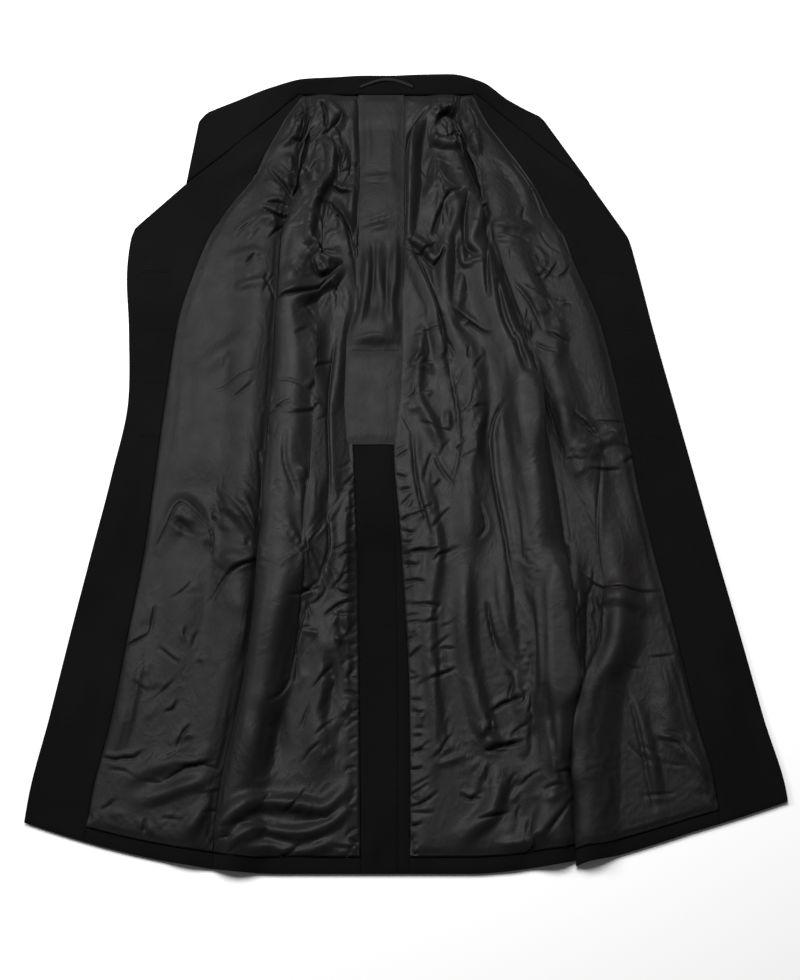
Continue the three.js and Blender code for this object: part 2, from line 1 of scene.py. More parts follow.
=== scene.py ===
"""A naval greatcoat of heavy black melton, laid open on its back with its satin lining up.

The coat is worked out in millimetres, in places of the garment: "x" runs across the coat and "up"
is the distance above the hem line. Every panel is a grid of points over one cloth surface,
lay_cloth, moved out from it by what lies beneath the panel. The linings are then settled with
Blender's cloth simulation. to_frame turns the places into the frame's metres.
"""

import math
from typing import NamedTuple

import bpy
import numpy as np
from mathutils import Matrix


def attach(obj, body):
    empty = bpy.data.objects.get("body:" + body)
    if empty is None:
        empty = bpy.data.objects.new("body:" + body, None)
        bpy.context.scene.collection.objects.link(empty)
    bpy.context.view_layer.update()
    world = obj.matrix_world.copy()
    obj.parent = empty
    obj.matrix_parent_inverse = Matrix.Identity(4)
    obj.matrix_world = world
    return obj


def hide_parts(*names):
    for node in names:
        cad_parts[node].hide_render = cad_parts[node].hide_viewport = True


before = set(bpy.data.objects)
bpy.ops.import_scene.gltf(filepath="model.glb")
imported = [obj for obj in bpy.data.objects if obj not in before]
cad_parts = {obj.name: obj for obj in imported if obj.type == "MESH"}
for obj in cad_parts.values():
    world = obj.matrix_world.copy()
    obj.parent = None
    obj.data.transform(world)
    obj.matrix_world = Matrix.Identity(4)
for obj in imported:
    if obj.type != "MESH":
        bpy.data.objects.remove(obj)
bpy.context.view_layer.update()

# ---------------------------------------------------------------- driving dimensions, millimetres

MM = 0.001
MIDDLE = np.array([1.4, 593.6, 0.0])  # the middle of the laid coat
COAT_LENGTH = 1150.0  # centre back, from the neck seam to the hem
SEAM = 0.3  # space between two pieces that are sewn together
VENT_TOP = 559.0
STAY_TOP = 705.0
LAPEL_TIP = 897.0
HEM_TURN = 24.0  # wool turned up inside the hem
ARMHOLE = {"bottom": 955, "top": 1092, "gape": 8}

WOOL = 2.5  # thickness of the melton
WOOL_GRID = 7.0

LINING = 0.7  # thickness of the satin
LINING_GRID = 4.6
LINING_EASE = 7.0  # how far a lining stands off the wool away from its seams
LINING_FLOAT = 1.2  # and the least that it stands off before it settles
LINING_LAP = 5.0  # the lining's hem laps this far over the turned hem
LINING_REST = 0.15  # the least space left between the wool and a settled lining
LINING_GAPE = 0.8  # the linings' share of the gape along an armhole
LOFT_SOFT = 1.5  # how softly a hollow in a lining comes to rest on the wool
SEAM_FADE = 16.0  # a lining's ease and folds die away over this much at its seams
CUFF_BRIDGE = 300.0  # a lining slopes off over this much beyond a cuff
CLOTH_TOP = 44.0  # above this the linings' heaps are flattened off,
CLOTH_TOP_SOFT = 4.0  # and this softly
CRINKLES = 0.30  # how many small folds a patch has for its size and spare cloth
SPARE = {"all": 0.002, "seams": 0.008, "reach": 22}  # shares of spare cloth, most at the seams

# How the linings settle: steps, stiffness, the fullest share of the spare cloth, how far the
# ground lies beneath the cloth's first place, and the contact of the two, in metres.
SETTLE = {
    "frames": 14, "quality": 5, "stiffness": 14, "shear": 5, "bending": 2, "mass": 0.1,
    "spare": 1.3, "drop": 2.5, "skin": 0.001, "apart": 0.0012, "friction": 4, "contacts": 2,
}
WEIGHT_STEPS = 50  # a vertex weight is held to a fiftieth

# A pressed crease: its half width, the least share of that and the depth that adds a whole one,
# how far it reaches in half widths, the share of its depth in its floor and in its lip, how far
# the lip leans, and the place and half width of the lip in half widths.
CREASE = {
    "half": 4.5, "least": 0.75, "deep": 18, "reach": 3, "floor": 1.25, "lip": 0.42,
    "lean": 0.34, "lip_off": 1.1, "lip_half": 1.5, "fade": 0.7,
}
# The slow crossed waves that push the folds about, across and up: how far, their wave length,
# and the swing and the wave length of the wave that bends them.
WANDER = {"x": (3.0, 41, 1.2, 47), "up": (3.5, 23, 1.4, 53)}
FOLD_ENDS = 1.2  # a fold rises and dies over this share of a station's run
FOLD_SWELL = 0.16

# The stay and the centre strip: grid, rounded rim, height above the wool, and how they puff.
STRIP = {
    "grid": 4.0, "rim": 0.8, "round": 1.6, "stand": 3.4, "puff": 2.6, "puff_over": 16,
    "fold_over": 10,
}
STRIP_LAP = 9.0  # the strip laps this far over the stay

COLLAR_WALL = 5.0  # top collar, stiffening and under collar
COLLAR_BED = {"x": -27, "half": 150, "down": 47}
COLLAR_SET = 0.6  # the collar's upright edge stands this far from the neck seam
COLLAR_CORNER = {"cut": 13.0, "over": 0.28}  # how much its corners are rounded off, in stations
COLLAR_ROLL = {"ends": 2.85, "back": 8.0}  # radius at which the collar folds over
COLLAR_STEP = 52.0  # run of the collar between two stations
COLLAR_END = 75.0  # and near its two ends
COLLAR_WAVE = {"height": 0.7, "along": 4.1, "start": 0.6, "across": 21}

BUTTON_RADIUS = 13.0
BUTTON_THICKNESS = 5.0
BUTTON_INSET = 125.0  # from the front edge to the button row
BUTTON_STATIONS = (841, 754, 667, 580)
HOLE_STATIONS = (837, 744, 659, 577)
HOLE_INSET = 26.0  # from the front edge to the outer end of a buttonhole
HOLE_LENGTH = 34.0
# The stitches of a buttonhole: their pitch, the half width of the slit, the reach of its lips, the
# inner and outer radius of the fan, and the half length and the place of the bar.
HOLE_STITCHES = {
    "pitch": 0.85, "slit": 0.35, "lip": 2.3, "eye": (1.4, 3.4), "bar": 2.2, "bar_run": (-0.8, 1.2),
}
HOLE_THREAD = 0.33
# The two rows of stitches at the strip's hem: their heights about it and their ends across.
STRIP_THREAD = {
    "pitch": 3.2, "length": 2.2, "radius": 0.22, "above": 6.2, "rows": (-2, 6), "ends": (-85, -5),
}
THREAD_RISE = 0.9  # a stitch arches by this share of its radius

SLEEVE_THICKNESS = 7.5  # a sleeve pressed flat
SLEEVE_WALL = 3.0
SLEEVE_CROWN = 1098.0  # the lower layer of a sleeve starts here, under the armhole
SLEEVE_MOUTH = 950.0  # its upper layer is cut back to here
SLEEVE_CUFF = 480.0
SLEEVE_FLAT = 1.35  # how flat its section is, 1 being an ellipse

BED_MARGIN = 10.0  # the coat lies raised this far past a sleeve or a button
BED_SLOPES = {"collar": 32, "button": 34, "sleeve": 44, "along": 55}
BED_EASE = 4.0  # two beds ease into each other over this height

# Finishes: threads and fibres to the metre, and the gloss of the satin and of the wool.
SATIN_THREADS = 2400.0
MELTON_FIBRES = 900.0
SATIN_GLOSS = {"specular": 0.145, "sheen": 0.01, "sheen_roughness": 0.4, "uneven": 0.09}
MELTON_GLOSS = {"roughness": 0.95, "specular": 0.04, "sheen": 0.01, "sheen_roughness": 0.5}

# The laid coat in plan: x of each seam or edge at stations up from the hem.
PLAN_UP = (0, 85, 190, 300, 410, 520, 630, 740, 850, 897, 912, 990, 1060, 1105, 1150)
PLAN = {
    "edge_left": (-468, -464, -448, -432, -415, -398, -385, -393,
                  -404, -402, -398, -328, -255, -208, -163),
    "face_left": (-392, -387, -370, -358, -346, -340, -334, -326,
                  -301, -286, -280, -231, -203, -182, -157),
    "side_left": (-233, -229, -212, -197, -191, -188, -184, -182,
                  -180, -180, -178, -157, -147, -143, -151),
    "side_right": (206, 207, 209, 211, 208, 198, 183, 160, 132, 121, 119, 107, 90, 82, 87),
    "face_right": (382, 382, 365, 348, 328, 311, 297, 280, 245, 233, 225, 190, 148, 121, 105),
    "edge_right": (468, 468, 449, 430, 410, 391, 372, 353, 336, 327, 319, 277, 203, 156, 110),
}

# The vent facing, and the stay and centre strip above it.
CENTRE_UP = (0, 190, 410, 558, 640, 705, 790, 1150)
CENTRE = {
    "vent_left": (-54, -58, -64, -71, -78, -78, -66, -66),
    "vent_right": (4, 4, -6, -17, -9, -6, -6, -6),
    "back_seam": (-10, -10, -13, -20, -25, -28, -32, -33),
    "stay_left": (-80, -80, -84, -89, -89, -88, -71, -71),
    "stay_right": (0, 0, 0, 0, -1, -1, -1, -1),
}

# The hem curves up towards the front corners.
HEM_CURVE = {
    "left": {"start": -157, "reach": 311, "rise": 60, "power": 1.7},
    "right": {"start": 82, "reach": 386, "rise": 85, "power": 1.5},
}
HEM_CURVE_FADES = 400.0
FRONT_OVERHANG = {"drop": 7, "reach": 140}

# Rolls of cloth beside the side seams: how far beside, throughout or at the stations, the half
# width, the lean of the crest and its heights at the stations.
ROLL_UP = (0, 120, 200, 240, 290, 350, 550, 750, 900, 1000, 1100)
ROLLS = (
    {"seam": "side_left", "beside": 28, "half": 31, "lean": -9,
     "crest": (9, 15, 16.7, 17.5, 18.8, 20, 22, 20, 14, 8, 4)},
    {"seam": "side_left", "beside": -34, "half": 32, "lean": 4,
     "crest": (4, 7, 7.8, 8.1, 8.6, 9, 9, 8, 6, 3, 0)},
    {"seam": "side_right", "beside": -27, "half": 30, "lean": 6,
     "crest": (8, 13, 14.4, 15.1, 16, 17, 20, 18, 12, 8, 4)},
    {"seam": "side_right", "beside": (22, 27, 35, 45, 68, 72, 44, 30, 27, 27, 27),
     "half": 30, "lean": -10, "crest": (12, 16, 14, 12, 11, 10, 8, 8, 8, 5, 2)},
)

# The collar from its left end to its right end: seam line, outer line, tuck of the fall, lift.
COLLAR_LINE = {
    "seam_x": (-328, -273, -215.3, -164, -118, -69, -25, 20, 66, 111, 164.3, 222, 278),
    "seam_up": (991, 1044, 1099, 1150, 1150, 1150, 1150, 1150, 1150, 1150, 1098, 1043, 990),
    "out_x": (-313, -262, -206, -154, -106, -62, -22, 20, 70, 118, 158, 186, 207),
    "out_up": (1114, 1139, 1163, 1178, 1181, 1184, 1184, 1186, 1187, 1173, 1139, 1123, 1111),
    "tuck": (1, 2, 8, 26, 45, 55, 55, 55, 45, 20, 4, 2, 1),
    "lift": (0, 0.12, 0.7, 1, 1, 1, 1, 1, 1, 1, 0.7, 0.12, 0),
}
HANGER = {"from": 4.95, "to": 6.85, "ends": 11, "middle": 21, "width": 4, "thickness": 1.5}
SLEEVES = {
    "left": {"arm_x": -135, "cuff_x": -128, "arm_half": 92, "cuff_half": 78, "crown_half": 58},
    "right": {"arm_x": 68, "cuff_x": 62, "arm_half": 92, "cuff_half": 78, "crown_half": 58},
}


class Fold(NamedTuple):
    """A soft ridge, or a hollow where height is negative, along a curve through places (x, up).
    half is its half width."""

    path: tuple
    half: float
    height: float


class Crease(NamedTuple):
    """A sharp crease along a curve through places. The cloth on the left of its way laps over
    it."""

    path: tuple
    depth: float


class Rumple(NamedTuple):
    """A patch round a place where the lining has spare cloth to wrinkle: the share by which it is
    longer than its place, and the main way of its wrinkles, in degrees from across the coat."""

    x: float
    up: float
    half_x: float
    half_up: float
    spare: float
    turn: float


# The soft folds of the linings: the long ones of the back, those round the armholes, one that
# crosses the right side seam and the flatter ones of the fronts.
BACK_FOLDS = (
    Fold(((26, 860), (40, 800), (54, 735)), 14, 7),
    Fold(((88, 846), (80, 790), (72, 735)), 12, 6),
    Fold(((194, 430), (190, 350), (187, 290), (185, 230), (184, 170), (184, 80)), 15, 8),
    Fold(((-146, 800), (-138, 700), (-137, 560), (-142, 460), (-150, 380), (-162, 290),
          (-178, 190), (-200, 80)), 25, 10),
    Fold(((-112, 805), (-127, 720), (-116, 620), (-119, 520), (-128, 430), (-148, 335)), 20, 9),
    Fold(((-132, 520), (-118, 440), (-134, 350)), 24, 6),
    Fold(((-92, 770), (-90, 690), (-97, 600), (-99, 520), (-90, 430)), 12, 5),
    Fold(((-108, 345), (-102, 270), (-112, 200), (-102, 95)), 28, 8),
    Fold(((-236, 14), (-214, 48), (-180, 84), (-140, 86), (-99, 76), (-60, 110)), 15, 10),
    Fold(((-214, 16), (-171, 52), (-128, 50), (-92, 56), (-60, 86)), 12, 8),
    Fold(((-196, 12), (-160, 30), (-120, 26), (-80, 44)), 11, 6),
    Fold(((-196, 700), (-176, 600), (-180, 500), (-190, 400)), 14, 5),
    Fold(((-72, 548), (-80, 430), (-74, 300)), 12, 4),
    Fold(((-178, 210), (-166, 160), (-158, 110)), 26, -8),
    Fold(((-101, 285), (-97, 225), (-104, 165)), 14, -9),
    Fold(((-152, 840), (-160, 740), (-150, 640)), 17, 6),
    Fold(((24, 1120), (14, 1040), (9, 960), (4, 890), (14, 810)), 11, 7),
    Fold(((56, 1050), (61, 958), (58, 854), (62, 765), (84, 680)), 17, 11),
    Fold(((4, 872), (22, 822), (37, 764), (45, 708), (52, 653)), 13, 9),
    Fold(((70, 740), (90, 660), (91, 568), (84, 470), (78, 370)), 27, 10),
    Fold(((72, 410), (76, 320), (84, 240), (98, 150), (104, 110)), 19, 9),
    Fold(((34, 775), (18, 710), (14, 640), (36, 590), (60, 530)), 13, 7),
    Fold(((27, 565), (29, 490), (38, 410), (32, 320), (34, 209), (26, 84)), 14, 6),
    Fold(((148, 790), (162, 690), (158, 560), (162, 450), (176, 330), (186, 210),
          (194, 80)), 27, 9),
    Fold(((122, 430), (128, 340), (140, 245), (152, 150), (158, 80)), 18, 9),
    Fold(((58, 30), (84, 50), (108, 80), (118, 136)), 18, 9),
    Fold(((108, 26), (140, 34), (163, 50), (175, 100)), 15, 8),
    Fold(((150, 195), (156, 150), (150, 110)), 16, -8),
    Fold(((122, 640), (112, 570), (120, 500)), 12, -6),
)
ARMHOLE_FOLDS = (
    Fold(((-128, 1077), (-112, 1036), (-116, 997), (-131, 954), (-140, 904)), 9, 15),
    Fold(((-138, 930), (-138, 882), (-126, 858), (-107, 845), (-84, 854)), 9, 15),
    Fold(((-157, 766), (-133, 792), (-105, 813), (-84, 846)), 9, 12),
    Fold(((-81, 1122), (-73, 1012), (-80, 888)), 13, 9),
    Fold(((-102, 950), (-90, 925), (-86, 880)), 12, 10),
    Fold(((-148, 1126), (-159, 1088), (-173, 1058), (-194, 1042)), 8, 9),
    Fold(((-112, 1132), (-100, 1110), (-92, 1086)), 8, 10),
    Fold(((-180, 1002), (-172, 978), (-160, 958)), 9, 8),
    Fold(((-104, 1066), (-94, 1030), (-96, 990)), 12, 9),
    Fold(((47, 1121), (23, 1082), (12, 1009), (9, 947)), 12, 9),
    Fold(((47, 1072), (49, 1012), (30, 915)), 18, 11),
    Fold(((38, 1096), (50, 1117), (78, 1112), (92, 1082)), 8, 13),
    Fold(((42, 1074), (52, 1050), (72, 1044), (86, 1062)), 8, 11),
    Fold(((104, 1104), (113, 1050), (108, 1000)), 9, 11),
    Fold(((99, 962), (98, 915), (97, 868)), 7, 12),
    Fold(((70, 985), (74, 930), (66, 880)), 11, 10),
    Fold(((80, 895), (90, 836), (120, 846)), 8, 8),
    Fold(((2, 892), (24, 878), (48, 850)), 8, 7),
)
SEAM_FOLDS = (
    Fold(((203, 420), (202, 350), (199, 290), (194, 240), (190, 180)), 38, 16),
)
FRONT_FOLDS = (
    Fold(((-330, 392), (-297, 470), (-258, 398)), 25, 9),
    Fold(((-297, 440), (-284, 330), (-296, 200)), 34, 6),
    Fold(((-345, 300), (-352, 209), (-360, 120)), 18, 5),
    Fold(((-247, 514), (-228, 455), (-200, 404)), 10, 6),
    Fold(((-226, 498), (-212, 455), (-196, 420)), 9, 5),
    Fold(((-251, 402), (-225, 388), (-193, 408)), 18, 7),
    Fold(((-245, 350), (-215, 330), (-205, 260)), 21, 5),
    Fold(((-351, 98), (-304, 128), (-237, 150)), 15, 6),
    Fold(((-337, 76), (-289, 98), (-235, 116)), 14, 6),
    Fold(((-266, 34), (-256, 62), (-238, 92)), 14, 6),
    Fold(((-300, 660), (-262, 700), (-214, 724)), 21, 4),
    Fold(((-255, 760), (-232, 690), (-240, 610)), 23, 4),
    Fold(((-318, 700), (-306, 610), (-314, 520)), 14, 3),
    Fold(((-262, 850), (-232, 862), (-204, 850)), 16, 4),
    Fold(((-246, 800), (-214, 806), (-190, 800)), 14, 4),
    Fold(((-226, 926), (-204, 918), (-184, 900)), 16, 7),
    Fold(((-208, 990), (-196, 975), (-182, 962)), 10, 6),
    Fold(((-176, 1040), (-168, 1010), (-160, 985)), 10, 7),
    Fold(((-176, 1128), (-168, 1100), (-172, 1070)), 8, 5),
    Fold(((183, 725), (172, 629), (168, 520)), 17, 9),
    Fold(((172, 880), (180, 821), (205, 738)), 15, 7),
    Fold(((196, 800), (214, 740), (212, 660)), 15, 5),
    Fold(((130, 1050), (160, 1000), (186, 935)), 12, 5),
    Fold(((128, 900), (160, 906), (196, 900)), 15, 4),
    Fold(((150, 700), (166, 735), (196, 742)), 16, 5),
    Fold(((232, 560), (252, 545), (262, 530)), 14, 6),
    Fold(((244, 546), (272, 562), (302, 570)), 14, 6),
    Fold(((212, 640), (226, 600), (222, 550)), 14, 6),
    Fold(((286, 520), (296, 437), (300, 372)), 30, 5),
    Fold(((238, 340), (276, 338), (330, 330)), 17, 5),
    Fold(((248, 366), (242, 318), (237, 283), (222, 248), (212, 206), (206, 160),
          (202, 96)), 19, -14),
    Fold(((289, 384), (283, 322), (277, 285), (260, 252), (243, 222)), 18, 9),
    Fold(((246, 256), (235, 222), (229, 190), (226, 150), (222, 80)), 15, 8),
    Fold(((284, 222), (298, 160), (314, 74)), 10, 5),
    Fold(((316, 165), (351, 138), (375, 90)), 15, 6),
    Fold(((330, 280), (326, 200), (340, 120)), 23, 4),
)

# The creases of the back lining, of both armholes and of the front linings.
BACK_CREASES = (
    Crease(((-70, 1146), (-68, 1040), (-69, 930), (-71, 800)), 5),
    Crease(((-1, 1146), (0, 1040), (0, 930), (0, 800)), 5),
    Crease(((-102, 722), (-104, 600), (-106, 472)), 5),
    Crease(((-107, 460), (-98, 408), (-110, 367)), 5.6),
    Crease(((-109, 367), (-128, 352), (-152, 338)), 6.2),
    Crease(((-104, 320), (-85, 334), (-64, 338)), 3.7),
    Crease(((-92, 356), (-76, 346), (-62, 340)), 3.1),
    Crease(((-124, 336), (-138, 285), (-150, 228)), 4.3),
    Crease(((-150, 232), (-160, 214), (-174, 200)), 4.3),
    Crease(((-152, 570), (-154, 523), (-148, 475)), 3.7),
    Crease(((-176, 770), (-139, 790), (-88, 845)), 5),
    Crease(((60, 690), (56, 708), (48, 764), (32, 822), (15, 868)), 8),
    Crease(((13, 575), (17, 505), (30, 428)), 6.8),
    Crease(((-3, 407), (16, 411), (44, 405)), 5),
    Crease(((8, 334), (26, 336), (46, 333)), 3.7),
    Crease(((70, 762), (93, 744), (118, 724)), 6.2),
    Crease(((106, 336), (113, 302), (121, 268)), 5.6),
    Crease(((132, 240), (134, 224), (128, 208)), 5.6),
    Crease(((104, 190), (124, 203), (145, 208)), 5),
    Crease(((95, 142), (120, 151), (145, 158)), 5.6),
    Crease(((169, 226), (178, 159), (190, 94)), 5),
    Crease(((66, 90), (78, 84), (92, 84)), 3.7),
    Crease(((118, 580), (120, 505), (138, 360)), 6.2),
    Crease(((137, 622), (122, 590), (118, 560)), 5.6),
    Crease(((56, 690), (76, 560), (60, 480)), 3.7),
    Crease(((-3, 879), (19, 860), (48, 884)), 5.6),
    Crease(((40, 550), (53, 523), (68, 498)), 3.7),
    Crease(((98, 470), (104, 440), (92, 420)), 3.1),
)
ARMHOLE_CREASES = (
    Crease(((-122, 1136), (-114, 1110), (-115, 1084)), 12),
    Crease(((-93, 1107), (-106, 1086), (-120, 1073)), 11),
    Crease(((-146, 1072), (-156, 1036), (-157, 1000), (-150, 948)), 15),
    Crease(((-131, 1026), (-137, 1004), (-139, 982)), 11),
    Crease(((-113, 980), (-96, 972), (-80, 969)), 10),
    Crease(((-114, 950), (-92, 923), (-77, 896), (-72, 854)), 12),
    Crease(((-134, 851), (-122, 825), (-102, 833)), 13),
    Crease(((-165, 776), (-138, 797), (-112, 815)), 9),
    Crease(((-134, 1125), (-145, 1086), (-160, 1062)), 8),
    Crease(((-166, 922), (-173, 858), (-169, 780)), 9),
    Crease(((70, 1120), (89, 1082), (98, 1055), (93, 1018), (102, 990), (113, 972)), 15),
    Crease(((47, 1086), (58, 1106), (71, 1099), (79, 1075)), 12),
    Crease(((79, 1077), (63, 1058), (49, 1071)), 12),
    Crease(((105, 949), (114, 940), (123, 944)), 13),
    Crease(((88, 964), (83, 921), (85, 879), (104, 842)), 11),
    Crease(((119, 922), (116, 892), (112, 858)), 10),
    Crease(((84, 970), (56, 947), (37, 892)), 12),
    Crease(((2, 880), (21, 867), (44, 839)), 9),
    Crease(((42, 840), (50, 852), (57, 870)), 9),
    Crease(((41, 1124), (12, 1078), (3, 1000), (0, 903)), 10),
    Crease(((111, 858), (115, 820), (119, 780)), 10),
    Crease(((127, 808), (132, 754), (141, 710)), 11),
    Crease(((141, 725), (148, 690), (156, 655)), 11),
)
FRONT_CREASES = (
    Crease(((268, 362), (257, 309), (251, 283), (235, 254), (224, 231), (219, 200),
            (216, 155), (210, 84)), 11),
    Crease(((-328, 410), (-301, 474), (-262, 440)), 3.7),
    Crease(((-262, 446), (-256, 424), (-260, 402)), 3.7),
    Crease(((-243, 503), (-232, 480), (-220, 460)), 2.5),
    Crease(((-251, 482), (-247, 465), (-243, 448)), 2.5),
    Crease(((-222, 460), (-208, 436), (-194, 413)), 3.1),
    Crease(((-252, 338), (-232, 374), (-190, 394)), 4.3),
    Crease(((-200, 550), (-193, 505), (-197, 460)), 5.6),
    Crease(((-374, 138), (-356, 132), (-340, 137)), 3.1),
    Crease(((-298, 110), (-262, 130), (-234, 122)), 3.1),
    Crease(((-316, 275), (-302, 263), (-288, 252)), 2.5),
    Crease(((-347, 236), (-340, 228), (-332, 221)), 2.5),
    Crease(((-268, 640), (-240, 655), (-214, 668)), 1.9),
    Crease(((-240, 628), (-226, 640), (-216, 652)), 2.5),
    Crease(((-215, 938), (-190, 925), (-164, 921)), 12),
    Crease(((-210, 946), (-194, 948), (-176, 940)), 6),
    Crease(((-202, 1008), (-185, 979), (-167, 951)), 8),
    Crease(((-158, 1140), (-152, 1115), (-158, 1090)), 3.1),
    Crease(((160, 820), (180, 775), (196, 728)), 3.7),
    Crease(((176, 835), (187, 824), (198, 827)), 3.1),
    Crease(((200, 728), (212, 718), (224, 710)), 5.6),
    Crease(((154, 1030), (180, 984), (201, 928)), 2.5),
    Crease(((233, 608), (248, 588), (262, 566)), 5.6),
    Crease(((262, 592), (282, 589), (302, 591)), 2.5),
    Crease(((262, 536), (258, 470), (262, 372)), 2.5),
    Crease(((228, 374), (262, 354), (332, 354)), 3.7),
    Crease(((276, 218), (290, 159), (306, 74)), 3.1),
    Crease(((309, 164), (336, 156), (352, 126)), 3.1),
    Crease(((350, 130), (362, 112), (380, 96)), 2.5),
    Crease(((310, 262), (328, 266), (345, 270)), 1.9),
    Crease(((278, 251), (288, 247), (298, 246)), 1.9),
)

# The patches that wrinkle most: the armholes, beside the vent and the seams, and the hem.
RUMPLES = (
    Rumple(-125, 1000, 45, 140, 0.030, 70),
    Rumple(75, 1000, 45, 140, 0.030, 105),
    Rumple(-95, 250, 45, 140, 0.022, 60),
    Rumple(-150, 52, 90, 40, 0.022, 20),
    Rumple(145, 120, 65, 90, 0.022, 50),
    Rumple(60, 640, 60, 130, 0.018, 75),
    Rumple(30, 300, 35, 240, 0.014, 40),
    Rumple(-150, 640, 40, 160, 0.014, 95),
    Rumple(-240, 440, 60, 80, 0.014, 120),
    Rumple(-300, 100, 80, 70, 0.016, 25),
    Rumple(-290, 260, 60, 110, 0.010, 60),
    Rumple(270, 560, 50, 60, 0.018, 30),
    Rumple(220, 330, 35, 140, 0.012, 95),
    Rumple(340, 120, 60, 60, 0.014, 140),
    Rumple(-190, 900, 45, 130, 0.016, 60),
    Rumple(185, 830, 45, 160, 0.014, 110),
    Rumple(-35, 850, 35, 90, 0.014, 85),
)

# The stay and the strip: folds and creases.
STRIP_FOLDS = (
    Fold(((-92, 736), (-44, 738), (4, 736)), 42, 7),
    Fold(((-80, 826), (-44, 832), (0, 840)), 34, 4),
    Fold(((-66, 1000), (-43, 994), (-14, 1000)), 9, 3),
    Fold(((-66, 900), (-43, 904), (-14, 914)), 9, 4),
    Fold(((-58, 885), (-54, 830), (-60, 770), (-72, 725)), 10, 8),
    Fold(((-36, 895), (-38, 840), (-34, 780), (-40, 730)), 8, 5),
    Fold(((-14, 900), (-14, 830), (-20, 770), (-12, 725)), 9, 8),
    Fold(((-60, 1120), (-55, 1050), (-58, 1000)), 9, 2),
    Fold(((-20, 1100), (-24, 1030), (-18, 960)), 10, 2),
    Fold(((-84, 716), (-44, 722), (-4, 716)), 8, 4),
)
STRIP_CREASES = (
    Crease(((-62, 992), (-45, 988), (-24, 992)), 2.6),
    Crease(((-68, 910), (-43, 918), (-12, 931)), 3.4),
    Crease(((-48, 890), (-43, 840), (-49, 776)), 5),
    Crease(((-24, 866), (-27, 820), (-21, 752)), 4),
    Crease(((-68, 838), (-64, 800), (-70, 762)), 3),
    Crease(((-84, 714), (-43, 709), (-4, 714)), 1.6),
)

# Low waves of the heavy wool: at the lapels, the front edges and the hem.
WOOL_FOLDS = (
    Fold(((-288, 985), (-240, 1020), (-188, 1068)), 24, 5),
    Fold(((-390, 905), (-372, 860), (-356, 800)), 34, 4),
    Fold(((-352, 760), (-362, 680), (-360, 600)), 28, 2.5),
    Fold(((-372, 560), (-380, 470), (-398, 380)), 25, 2.5),
    Fold(((-398, 300), (-412, 200), (-420, 90)), 28, 3),
    Fold(((300, 880), (306, 800), (318, 720)), 28, 3),
    Fold(((340, 620), (352, 520), (368, 420)), 28, 2.5),
    Fold(((388, 330), (402, 220), (420, 110)), 28, 3),
    Fold(((218, 980), (184, 1018), (146, 1060)), 20, 3.5),
    Fold(((-190, 0), (-186, 30), (-196, 70)), 23, 5),
    Fold(((-40, 0), (-42, 20), (-40, 60)), 18, 3),
    Fold(((120, 0), (124, 24), (118, 70)), 23, 4),
)

# ---------------------------------------------------------------- small helpers


def smooth_curve(at, stations, values):
    """A cubic between each two stations, whose slope at a station is the harmonic mean of the two
    straight slopes beside it, or level where they turn, so that it never swings past a value."""
    xs, ys = np.asarray(stations, float), np.asarray(values, float)
    width = np.diff(xs)
    rise = np.diff(ys) / width
    slope = np.zeros_like(ys)
    slope[0], slope[-1] = rise[0], rise[-1]
    same_way = rise[:-1] * rise[1:] > 0
    safe = np.where(same_way, rise[:-1] * rise[1:], 1.0)
    before, after = 2 * width[1:] + width[:-1], width[1:] + 2 * width[:-1]
    mean = (before + after) * safe / (before * rise[1:] + after * rise[:-1] + (~same_way) * 1.0)
    slope[1:-1] = np.where(same_way, mean, 0.0)
    at = np.clip(at, xs[0], xs[-1])
    k = np.clip(np.searchsorted(xs, at, side="right") - 1, 0, len(xs) - 2)
    t = (at - xs[k]) / width[k]
    held = ys[k] * (1 + 2 * t) * (1 - t) ** 2 + ys[k + 1] * t**2 * (3 - 2 * t)
    return held + width[k] * (slope[k] * t * (1 - t) ** 2 - slope[k + 1] * t**2 * (1 - t))


def plan_line(name):
    """The line of a seam or an edge: x as a function of the distance up from the hem. The front
    edges run straight between their corners above the tip of the lapel."""

    def line(up):
        curved = smooth_curve(up, PLAN_UP, PLAN[name])
        if name.startswith("edge"):
            return np.where(up > LAPEL_TIP, np.interp(up, PLAN_UP, PLAN[name]), curved)
        return curved

    return line


def centre_line(name, below=COAT_LENGTH):
    """A line beside the vent or the centre strip, carried straight up past "below"."""
    return lambda up: smooth_curve(np.minimum(up, below), CENTRE_UP, CENTRE[name])


def smooth_step(value, low, high):
    """0 below low and 1 above high, with a cubic between them that is level at both."""
    t = np.clip((value - low) / (high - low), 0, 1)
    return t * t * (3 - 2 * t)


def ridge(distance, half):
    """A squared cosine: 1 at the middle and 0 from half outwards."""
    return np.cos(np.pi / 2 * np.clip(np.abs(distance) / half, 0, 1)) ** 2


def bed(distance, half, slope):
    """A raised bed: 1 within half, falling to 0 over slope outside it."""
    return 1 - smooth_step(np.abs(distance), half, half + slope)


def mix(a, b, t):
    return a + (b - a) * t


edge_left, face_left, side_left = map(plan_line, ("edge_left", "face_left", "side_left"))
edge_right, face_right, side_right = map(plan_line, ("edge_right", "face_right", "side_right"))
SIDE_SEAMS = {"side_left": side_left, "side_right": side_right}


def beside(seam, way, share=1.0):
    """The edge of a panel at a side seam: it leaves the seam along the armhole, which gapes as a
    half sine from the underarm to the shoulder. The linings' edges gape by a share of that."""

    def line(up):
        t = np.clip((up - ARMHOLE["bottom"]) / (ARMHOLE["top"] - ARMHOLE["bottom"]), 0, 1)
        return SIDE_SEAMS[seam](up) + way * share * ARMHOLE["gape"] * np.sin(np.pi * t)

    return line


# ---------------------------------------------------------------- the cloth surface


